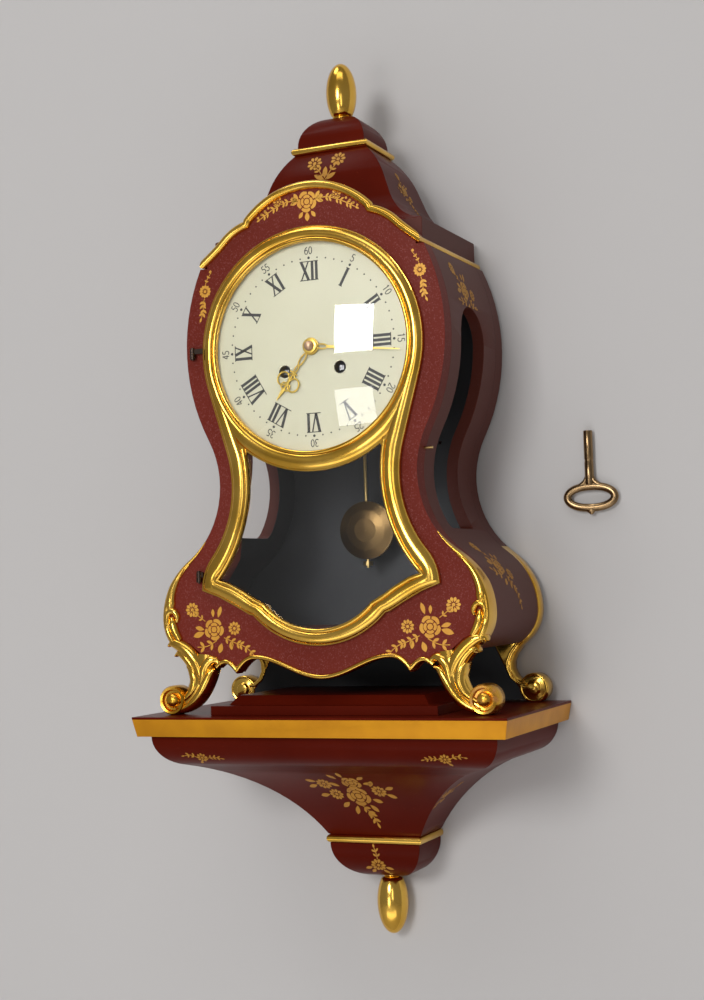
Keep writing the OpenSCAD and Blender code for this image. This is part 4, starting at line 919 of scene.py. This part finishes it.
class CLOCK_OT_dial(bpy.types.Operator):
    """Numerals and minute dots on the dial"""
    bl_idname = "clock.dial"
    bl_label = "Dial figures"

    def execute(self, context):
        bm = bmesh.new()
        ink = 0.07

        def place(angle, across, out):
            t = math.radians(angle)
            return (across * math.cos(t) + out * math.sin(t),
                    DIAL_Z - across * math.sin(t) + out * math.cos(t))

        def bar(angle, a, b, width):
            d = Vector((b[0] - a[0], b[1] - a[1])).normalized() * (width / 2)
            corners = [(a[0] - d.y, a[1] + d.x), (b[0] - d.y, b[1] + d.x),
                       (b[0] + d.y, b[1] - d.x), (a[0] + d.y, a[1] - d.x)]
            plate(bm, [place(angle, *c) for c in corners], DIAL_Y - ink, ink - 0.01)

        tall, low = 12.6, 43.2
        for hour, word in enumerate(ROMAN):
            for x0, z0, x1, z1, width in roman_strokes(word):
                bar(hour * 30, (x0 * tall, low + z0 * tall), (x1 * tall, low + z1 * tall), width * tall)
        for minute in range(60):
            five = minute % 5 == 0
            dot = round_points(place(minute * 6, 0, 58.0), 0.9 if five else 0.55, 12)
            plate(bm, dot, DIAL_Y - ink, ink - 0.01)
            if five:
                word = str(minute or 60)
                size, foot, pen = 3.0, 60.4, 0.6
                for k, d in enumerate(word):
                    shift = (k - len(word) / 2) * size * 0.98
                    for run in digit_paths(d):
                        run = [(shift + x * size * 0.9, foot + z * size) for x, z in run]
                        for a, b in zip(run, run[1:]):
                            bar(minute * 6, a, b, pen)
        piece("dial_figures", bm, FINISH["dial_ink"], "case")
        return {"FINISHED"}


def around(points, angle):
    """Turns hand points (across, out) to their place on the dial."""
    t = math.radians(angle)
    return [Vector((x * math.cos(t) + r * math.sin(t), DIAL_Z - x * math.sin(t) + r * math.cos(t)))
            for x, r in points]


class CLOCK_OT_hands(bpy.types.Operator):
    """Pierced gilt hands and their nut"""
    bl_idname = "clock.hands"
    bl_label = "Hands"

    def execute(self, context):
        s = sizes()

        def wire(bm, points, y, angle, half=0.45, closed=False):
            section = [(x, 0.9 * f) for x, f in round_points((0, 0), half, 8)]
            sweep(bm, around(points, angle), section, y, closed)

        def ring(bm, cx, cr, rx, ry, y, angle, half=0.45):
            turns = [2 * math.pi * k / 20 for k in range(20)]
            wire(bm, [(cx + rx * math.sin(t), cr + ry * math.cos(t)) for t in turns], y, angle, half, True)

        behind = node_copy("hour_hand")
        cut = bmesh.ops.bisect_plane(behind, geom=everything(behind), plane_co=(0, -0.1164, 0),
                                     plane_no=(0, -1, 0), clear_outer=True)
        rim = [e for e in cut["geom_cut"] if isinstance(e, bmesh.types.BMEdge)]
        bmesh.ops.holes_fill(behind, edges=rim, sides=0)
        piece("hour_pipe_brass", behind, FINISH["brass"], "hour_pipe", ("hour_hand",))
        bm = bmesh.new()
        y, a = -116.95, 217.7
        ring(bm, 0, 0, 4.9, 4.9, y, a, 0.55)
        ring(bm, 0, 10.2, 1.5, 4.6, y, a, 0.5)
        ring(bm, 0, 17.6, 1.0, 2.8, y, a, 0.5)
        wire(bm, [(-2.8, 21.0), (-1.2, 20.6), (0, 21.4), (1.2, 20.6), (2.8, 21.0)], y, a, 0.6)
        for side in (-1, 1):
            ring(bm, side * 4.3, 27.6, 3.9, 4.5, y, a, 0.6)
            ring(bm, side * 1.7, 31.2, 1.5, 2.2, y, a, 0.5)
            wire(bm, [(side * 0.5, 20.5), (side * 1.6, 22.6), (side * 3.6, 23.2)], y, a, 0.5)
        wire(bm, [(0, 20), (0, 26), (0, 33)], y, a, 0.7)
        blade = around([(-1.3, 33), (0, 31), (1.3, 33), (0.25, s.hour_length), (-0.25, s.hour_length)], a)
        plate(bm, [(p.x, p.y) for p in blade], y - 0.3, 0.6)
        bmesh.ops.recalc_face_normals(bm, faces=bm.faces)
        hub = [(3.9, -0.5), (5.4, -0.4), (5.7, 0), (5.4, 0.4), (3.9, 0.5), (3.9, -0.5)]
        lathe(bm, hub, here(0, y, DIAL_Z), (0, 1, 0), 32)
        piece("hour_hand_pierced", bm, FINISH["gilt_hands"], "hour_pipe")
        bm = bmesh.new()
        y, a = -118.95, 96.7
        ring(bm, 0, 8.9, 1.5, 3.7, y, a, 0.55)
        half = [(0.9, 12.4), (0.75, 24), (0.25, s.minute_length)]
        blade = around([(-x, r) for x, r in half] + half[::-1], a)
        plate(bm, [(p.x, p.y) for p in blade], y - 0.3, 0.6)
        hub = [(2.9, 0.35), (4.0, 0.4), (4.7, 0.3), (4.9, 0), (4.7, -0.3), (4.0, -0.5), (2.9, -0.4),
               (2.9, 0.35)]
        lathe(bm, hub, here(0, y, DIAL_Z), (0, 1, 0), 32)
        piece("minute_hand_pierced", bm, FINISH["gilt_hands"], "centre_arbor", ("minute_hand",))
        bm = bmesh.new()
        dome = [(3.1 * math.cos(math.radians(t)), -0.6 - 1.8 * math.sin(math.radians(t)))
                for t in range(10, 91, 16)]
        nut = [(0, 0.6), (3.2, 0.6), (3.4, 0.2), (3.2, -0.4)] + dome
        lathe(bm, nut, here(0, -120.0, DIAL_Z), (0, 1, 0), 32)
        piece("hand_nut_domed", bm, FINISH["hand_nut"], "centre_arbor", ("hand_nut",))
        return {"FINISHED"}


# Painted flower sprays

def petal(points, cx, cy, angle, reach, width, tip=0.5, count=5):
    """Adds one leaf or petal outline that starts at a point and reaches out at an angle."""
    t = math.radians(angle)
    ux, uy = math.cos(t), math.sin(t)
    left, right = [], []
    for i in range(1, count + 1):
        s = i / (count + 1)
        half = width / 2 * math.sin(math.pi * s ** (0.6 + tip)) ** 0.8
        left.append((cx + ux * reach * s - uy * half, cy + uy * reach * s + ux * half))
        right.append((cx + ux * reach * s + uy * half, cy + uy * reach * s - ux * half))
    points.append([(cx, cy)] + right + [(cx + ux * reach, cy + uy * reach)] + list(reversed(left)))


def daisy(points, cx, cy, r, petals=9, start=0):
    """A flower of narrow petals round a dot."""
    for k in range(petals):
        a = start + 360 * k / petals
        foot = 0.3 * r * turn(a)
        petal(points, cx + foot.x, cy + foot.y, a, 0.7 * r, 0.42 * r, 0.9)
    points.append(round_points((cx, cy), 0.24 * r, 8))


def rose(points, cx, cy, r):
    """A cabbage rose of crescent petals round a bud."""
    for inner, outer, count, start in ((0.66, 1.0, 5, 15), (0.34, 0.62, 4, 50)):
        for k in range(count):
            a0 = start + 360 * k / count
            a1 = a0 + 360 / count - 9
            outside, inside = [], []
            for i in range(7):
                a = math.radians(a0 + (a1 - a0) * i / 6)
                swell_out = outer * (0.88 + 0.12 * math.sin(math.pi * i / 6))
                outside.append((cx + r * swell_out * math.cos(a), cy + r * swell_out * math.sin(a)))
                inside.append((cx + r * inner * math.cos(a), cy + r * inner * math.sin(a)))
            points.append(outside + list(reversed(inside)))
    points.append(round_points((cx, cy), 0.27 * r, 8))


def stem(points, run, width=0.55, leaves=0, leaf=3.0, lean=48):
    """A thin stem with pairs of leaves."""
    path = smooth_spine(run, 4)
    for a, b in zip(path, path[1:]):
        d = Vector((b[0] - a[0], b[1] - a[1])).normalized() * (width / 2)
        points.append([(a[0] - d.y, a[1] + d.x), (a[0] + d.y, a[1] - d.x),
                       (b[0] + d.y, b[1] - d.x), (b[0] - d.y, b[1] + d.x)])
    for k in range(leaves):
        i = int((k + 1) * (len(path) - 1) / (leaves + 1))
        a, b = path[i], path[min(i + 1, len(path) - 1)]
        way = math.degrees(math.atan2(b[1] - a[1], b[0] - a[0]))
        petal(points, a[0], a[1], way + lean, leaf, leaf * 0.42)
        petal(points, a[0], a[1], way - lean, leaf, leaf * 0.42)
    end = path[-1]
    way = math.degrees(math.atan2(path[-1][1] - path[-2][1], path[-1][0] - path[-2][0]))
    petal(points, end[0], end[1], way, leaf, leaf * 0.4)


def corner_spray():
    """A rose with two daisies, for the lower corners."""
    p = []
    rose(p, 0, 0, 8.0)
    daisy(p, 17.5, 14.5, 5.4, 10)
    daisy(p, -16.5, 0.5, 5.0, 10, 12)
    petal(p, -3.5, 8.5, 108, 8.5, 3.2)
    petal(p, 0.5, 8.8, 88, 6.0, 2.6)
    stem(p, [(7, 6), (12, 9.5), (15, 12)], 0.5, 2, 3.2)
    stem(p, [(-8, -6), (-16, -9.5), (-25, -13), (-32, -19)], 0.6, 6, 4.2)
    stem(p, [(-2, -8), (6, -12), (14, -12.5)], 0.6, 2, 5.2)
    petal(p, 8, -2, -18, 9.5, 4.2)
    petal(p, 8, 0, 14, 7.5, 3.2)
    petal(p, -6, -10, -72, 7.5, 4.0)
    petal(p, -13, -9, -100, 6.0, 3.0)
    return p


def crest_spray():
    """A garland on both sides of a rose, under the crest."""
    p = []
    rose(p, 0, 0, 7.2)
    for side in (-1, 1):
        for a in (20, -20, 60):
            petal(p, side * 6.2, 1, (a if side > 0 else 180 - a), 6.0, 2.8)
        stem(p, [(side * 7, 1.5), (side * 16, 1.0), (side * 26, -3.0), (side * 34, -7.5)], 0.6, 7, 3.4)
        daisy(p, side * 21, 2.2, 3.4, 8)
        for k in range(4):
            x, z = side * (28 + 2.6 * k), -2.6 - 1.9 * k
            p.append(round_points((x, z + 1.6), 0.9, 6))
    petal(p, 0, -7, -90, 6.0, 3.4)
    petal(p, -3, -6.5, -125, 5.0, 2.6)
    petal(p, 3, -6.5, -55, 5.0, 2.6)
    return p


def sprig(flip=1):
    """A daisy on a leafy stem, beside the dial."""
    p = []
    daisy(p, 0, 3.5, 5.2, 12)
    stem(p, [(0, 9), (-1.2 * flip, 13), (-3.4 * flip, 17)], 0.5, 2, 2.2)
    p.append(round_points((-3.6 * flip, 19), 1.2, 8))
    stem(p, [(0, -2), (1.2 * flip, -7), (0.4 * flip, -12), (1.6 * flip, -17)], 0.55, 4, 4.2, 40)
    return p


def posy():
    """Two daisies on crossed stems, for the hood."""
    p = []
    daisy(p, -7.5, 6, 4.8, 9)
    daisy(p, 7.5, 7, 4.8, 9)
    stem(p, [(-1, -6), (-3, -1), (-6, 2.5)], 0.55, 2, 3.4)
    stem(p, [(1, -6), (3, -1), (6, 3)], 0.55, 2, 3.4)
    petal(p, 0, -5, 90, 8, 3)
    petal(p, 0, -6, 150, 8, 2.8)
    petal(p, 0, -6, 30, 8, 2.8)
    return p


def bouquet():
    """Two roses and three daisies, for the console."""
    p = []
    rose(p, 3.5, -4, 9.0)
    rose(p, 4.6, 10, 7.2)
    daisy(p, -17, 8.5, 5.6, 10)
    daisy(p, -12.6, -2.6, 5.2, 10)
    daisy(p, 21.5, 1.2, 5.6, 10)
    for x, z, a in ((-22, 11, 165), (-23, 7, 200), (-18, -3, 190), (-4, 15, 130), (1, 17, 95), (11, 14, 35),
                    (13, 9, 5), (17, 6, 60), (-6, 6, 150), (13, -7, -20), (9, -12, -50), (-6, -10, 215),
                    (-1, -13, 250), (27, 3, 20), (26, -2, -25)):
        petal(p, x, z, a, 7.5, 3.4)
    stem(p, [(3, -13), (7, -19), (9, -26)], 0.6, 4, 4.6, 40)
    return p


def low_posy():
    """A daisy with a few leaves, for the lower block."""
    p = []
    daisy(p, 0, 0, 4.6, 10)
    stem(p, [(0.4, 4.4), (0.2, 8), (-0.6, 11)], 0.5, 2, 2.8)
    for a in (200, 232, 300, 338):
        petal(p, 4.2 * math.cos(math.radians(a)), 4.2 * math.sin(math.radians(a)), a, 5.0, 2.4)
    return p


def low_spray():
    """A daisy between two leafy stems, for the console's corners."""
    p = []
    daisy(p, 0, 0, 4.6, 9)
    stem(p, [(4, 0), (9, 1.5), (14, 0)], 0.5, 2, 3.2)
    stem(p, [(-4, 0), (-9, 2), (-15, 1.6)], 0.5, 3, 3.2)
    petal(p, 1, -4, -70, 4.5, 2.2)
    return p


class CLOCK_OT_sprays(bpy.types.Operator):
    """Painted flower sprays on the case and the console"""
    bl_idname = "clock.sprays"
    bl_label = "Flower sprays"

    def execute(self, context):
        trees = {}

        def tree_of(node):
            """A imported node's search tree, kept with its mesh."""
            if node not in trees:
                obj = frame["nodes"][node]
                bm = bmesh.new()
                bm.from_mesh(obj.data)
                bm.transform(obj.matrix_world)
                trees[node] = (BVHTree.FromBMesh(bm), bm)
            return trees[node][0]

        def hit_at(node, facing, a, b):
            """Where a ray from the front or from a side meets a node, its normal and the ray's way."""
            if facing == "front":
                start, way = here(a, -400, b), Vector((0, 1, 0))
            else:
                start, way = here(400 * facing, a, b), Vector((-facing, 0, 0))
            return tree_of(node).ray_cast(start, way)[:2] + (way,)

        def unroll(node, facing, at):
            """Heights along the surface above and below a point, by distance walked."""
            found = {0.0: at[1]}
            for way in (1, -1):
                walked, last = 0.0, hit_at(node, facing, *at)[0]
                for k in range(1, 91):
                    z = at[1] + way * k * 0.5
                    spot = hit_at(node, facing, at[0], z)[0]
                    if spot is None or last is None or (spot - last).length > 0.006:
                        break
                    walked += (spot - last).length / MM
                    found[way * walked] = z
                    last = spot
            marks = sorted(found)

            def height(v):
                v = max(marks[0], min(marks[-1], v))
                for low, high in zip(marks, marks[1:]):
                    if low <= v <= high:
                        return found[low] + (found[high] - found[low]) * (v - low) / max(high - low, 1e-6)
                return at[1]
            return height

        def paint(name, jobs, finish, body):
            """Lays thin closed shells of flower shapes on the nodes' surfaces."""
            bm = bmesh.new()
            lift = sizes().spray_lift * MM
            for shapes, node, facing, at, spin, scale in jobs:
                c, s = math.cos(math.radians(spin)) * abs(scale), math.sin(math.radians(spin)) * abs(scale)
                mirror = -1 if scale < 0 else 1
                height = unroll(node, facing, at)
                for shape in shapes:
                    low, high = [], []
                    for u, v in shape:
                        u *= mirror
                        spot, normal, way = hit_at(node, facing, at[0] + u * c - v * s, height(u * s + v * c))
                        if spot is None:
                            break
                        normal = -normal if normal.dot(way) > 0 else normal
                        low.append(spot + normal * 0.1 * lift)
                        high.append(spot + normal * lift)
                    else:
                        bottom = bm.faces.new([bm.verts.new(v) for v in low])
                        grown = bmesh.ops.extrude_face_region(bm, geom=[bottom], use_keep_orig=True)
                        tops = [v for v in grown["geom"] if isinstance(v, bmesh.types.BMVert)]
                        for v in tops:
                            v.co = min(zip(low, high), key=lambda pair: (pair[0] - v.co).length)[1]
            piece(name, bm, FINISH[finish], body, (), 60)

        front = "front_panel"
        spray = [(crest_spray(), front, "front", (0, 333.2), 0, 1.0),
                 (corner_spray(), front, "front", (75.5, 55), 0, 0.92),
                 (corner_spray(), front, "front", (-77.8, 56.2), 0, -0.92),
                 (sprig(1), front, "front", (77.5, 277), 6, 0.85),
                 (sprig(-1), front, "front", (-77.5, 279), -6, 0.85)]
        paint("front_sprays", spray, "gilt_paint", "case")
        hood = [(posy(), "hood_roof", "front", (-1, 361), 0, 1.15)]
        hood += [(corner_spray(), "hood_roof", side, (-54, 347), -38, -0.5) for side in (1, -1)]
        for side, node in ((1, "side_panel_right"), (-1, "side_panel_left")):
            hood += [(corner_spray(), node, side, (-66, 273), -8, -0.82),
                     (corner_spray(), node, side, (-68, 92), -30, -0.86)]
        paint("hood_and_side_sprays", hood, "gilt_worn", "case")
        body = "bracket_body"
        tall_bouquet = [[(u, 1.3 * v) for u, v in shape] for shape in bouquet()]
        low = [(tall_bouquet, body, "front", (-3, -55), 0, 0.95),
               (low_spray(), body, "front", (85, -26.5), 8, 0.9),
               (low_spray(), body, "front", (-86, -27.6), -8, -0.9),
               (corner_spray(), body, 1, (-56, -57), -60, -0.5),
               (corner_spray(), body, -1, (-56, -57), -60, -0.5),
               (low_posy(), "bracket_lower_block", "front", (0.5, -109), 0, 1.2)]
        paint("console_sprays", low, "gilt_worn", "console")
        for _, bm in trees.values():
            bm.free()
        return {"FINISHED"}


class CLOCK_OT_key(bpy.types.Operator):
    """The winding key on the wall"""
    bl_idname = "clock.key"
    bl_label = "Winding key"

    def execute(self, context):
        bm = bmesh.new()
        x0, y, top = 150.5, -3.45, 181.0
        pipe = [(1.9, -13), (1.9, 0), (2.9, 0), (3.1, -0.3), (3.1, -19.4), (2.8, -19.8), (2.8, -20.4),
                (3.1, -20.8), (3.15, -34), (2.4, -37), (0, -38)]
        lathe(bm, pipe, here(x0, y, top), (0, 0, 1), 28)
        bow = []
        for k in range(48):
            c, s = math.cos(2 * math.pi * k / 48), math.sin(2 * math.pi * k / 48)
            bow.append(Vector((x0 + 0.4 + 16.3 * math.copysign(abs(c) ** 0.86, c), 136.2 + 7.2 * s)))
        bow.reverse()
        section = [(2.7 * x, 2.0 * f) for x, f in round_points((0, 0), 1, 12)]
        sweep(bm, bow, section, y, closed=True)
        for side in (-1, 1):
            neck = [(x0 + side * 2.0, 150, 1.2, 1.8), (x0 + side * 3.4, 146.4, 1.8, 1.9),
                    (x0 + side * 7.5, 143.6, 1.6, 1.7)]
            limb(bm, smooth_spine(neck), y)
        tip = [(x0, 131.0, 9.0, 1.7), (x0 + 0.2, 128.4, 5.6, 1.8), (x0 + 0.4, 126.2, 2.6, 1.7),
               (x0 + 0.6, 124.5, 0.9, 1.1)]
        limb(bm, smooth_spine(tip, 4), y)
        piece("winding_key_cast", bm, FINISH["key_brass"], "key", ("winding_key",))
        return {"FINISHED"}


CAMERA_AT = (0.4429, -1.0656, 0.1076)
YAW, PITCH, ROLL = 23.75, 2.94, -1.93
LENS = 83.04
# Place, aim, width, height and watts; the two windows stand where the dial's glass mirrors them
LAMPS = (
    ("window_high", (-0.297, -3.04, 0.919), (0.035, -0.127, 0.27), 0.74, 0.87, 30),
    ("window_low", (-0.339, -3.007, -0.481), (0.033, -0.122, 0.219), 0.74, 0.66, 6.0),
    ("window_side", (1.05, -2.85, 0.25), (0.066, -0.12, 0.247), 0.5, 1.2, 4),
    ("sky_high", (-1.3, -1.1, 3.5), (0, 0, 0.2), 1.4, 1.2, 22),
    ("ceiling", (0.4, -1.9, 2.9), (0, 0, 0.2), 2.2, 1.0, 12),
    ("floor_bounce", (0.1, -0.95, -0.85), (0, -0.1, 0.25), 1.6, 0.5, 3),
)


class CLOCK_OT_studio(bpy.types.Operator):
    """Wall, floor, lamps and camera"""
    bl_idname = "clock.studio"
    bl_label = "Studio"

    def execute(self, context):
        scene = bpy.context.scene
        scene.view_settings.view_transform = "Standard"
        mat, tree, shader, coords = new_finish("studio_wall", Roughness=0.9)
        shader.inputs["Base Color"].default_value = (*sizes().wall, 1)
        see_through(tree, shader, tree.nodes.new("ShaderNodeNewGeometry").outputs["Backfacing"])
        wide, deep, back, low, high = 3, -4, 0.0006, -0.9, 2.6
        for name, corners in (
                ("wall", ((-wide, back, low), (wide, back, low), (wide, back, high), (-wide, back, high))),
                ("floor", ((-wide, deep, low), (wide, deep, low), (wide, back, low), (-wide, back, low)))):
            bm = bmesh.new()
            bm.faces.new([bm.verts.new(c) for c in corners])
            mesh = bpy.data.meshes.new(name)
            bm.to_mesh(mesh)
            bm.free()
            mesh.materials.append(mat)
            obj = bpy.data.objects.new(name, mesh)
            bpy.context.collection.objects.link(obj)
        yaw, pitch, roll = (math.radians(v) for v in (YAW, PITCH, ROLL))
        forward = Vector((-math.sin(yaw) * math.cos(pitch), math.cos(yaw) * math.cos(pitch), math.sin(pitch)))
        right0 = Vector((math.cos(yaw), math.sin(yaw), 0))
        up0 = right0.cross(forward)
        right = right0 * math.cos(roll) + up0 * math.sin(roll)
        up = up0 * math.cos(roll) - right0 * math.sin(roll)
        data = bpy.data.cameras.new("camera")
        data.sensor_fit, data.sensor_width, data.lens = "HORIZONTAL", 36.0, LENS
        data.clip_start, data.clip_end = 0.05, 20
        camera = bpy.data.objects.new("camera", data)
        bpy.context.collection.objects.link(camera)
        turned = Matrix((right, up, -forward)).transposed()
        camera.matrix_world = Matrix.Translation(CAMERA_AT) @ turned.to_4x4()
        scene.camera = camera

        for name, place, aim, wide, high, watts in LAMPS:
            light = bpy.data.lights.new(name, "AREA")
            light.shape, light.size, light.size_y = "RECTANGLE", wide, high
            light.energy = watts
            obj = bpy.data.objects.new(name, light)
            bpy.context.collection.objects.link(obj)
            way = (Vector(aim) - Vector(place)).normalized()
            obj.matrix_world = Matrix.Translation(place) @ way.to_track_quat("-Z", "Y").to_matrix().to_4x4()
        world = bpy.data.worlds.new("studio_world")
        scene.world = world
        world.use_nodes = True
        sky = world.node_tree.nodes["Background"]
        sky.inputs["Color"].default_value = (1.0, 0.99, 0.98, 1)
        sky.inputs["Strength"].default_value = 0.22
        return {"FINISHED"}


OPERATORS = (CLOCK_OT_finishes, CLOCK_OT_casework, CLOCK_OT_crest, CLOCK_OT_door, CLOCK_OT_feet,
             CLOCK_OT_edges, CLOCK_OT_finials, CLOCK_OT_dial, CLOCK_OT_hands, CLOCK_OT_sprays,
             CLOCK_OT_key, CLOCK_OT_studio)


class CLOCK_PT_panel(bpy.types.Panel):
    """Lists the clock's building steps"""
    bl_idname = "CLOCK_PT_panel"
    bl_label = "Clock"
    bl_space_type = "VIEW_3D"
    bl_region_type = "UI"
    bl_category = "Clock"

    def draw(self, context):
        for prop in CLOCK_PG_sizes.__annotations__:
            self.layout.prop(context.scene.clock_sizes, prop)
        for step in OPERATORS:
            self.layout.operator(step.bl_idname)


CLASSES = (CLOCK_PG_sizes,) + OPERATORS + (CLOCK_PT_panel,)


def register():
    """Adds the classes and the scene's sizes."""
    for cls in CLASSES:
        bpy.utils.register_class(cls)
    bpy.types.Scene.clock_sizes = bpy.props.PointerProperty(type=CLOCK_PG_sizes)


def unregister():
    """Takes them away again."""
    del bpy.types.Scene.clock_sizes
    for cls in reversed(CLASSES):
        bpy.utils.unregister_class(cls)


def main():
    """Builds the clock and its stage, step by step."""
    register()
    for step in OPERATORS:
        group, name = step.bl_idname.split(".")
        getattr(getattr(bpy.ops, group), name)()


if __name__ == "__main__":
    main()
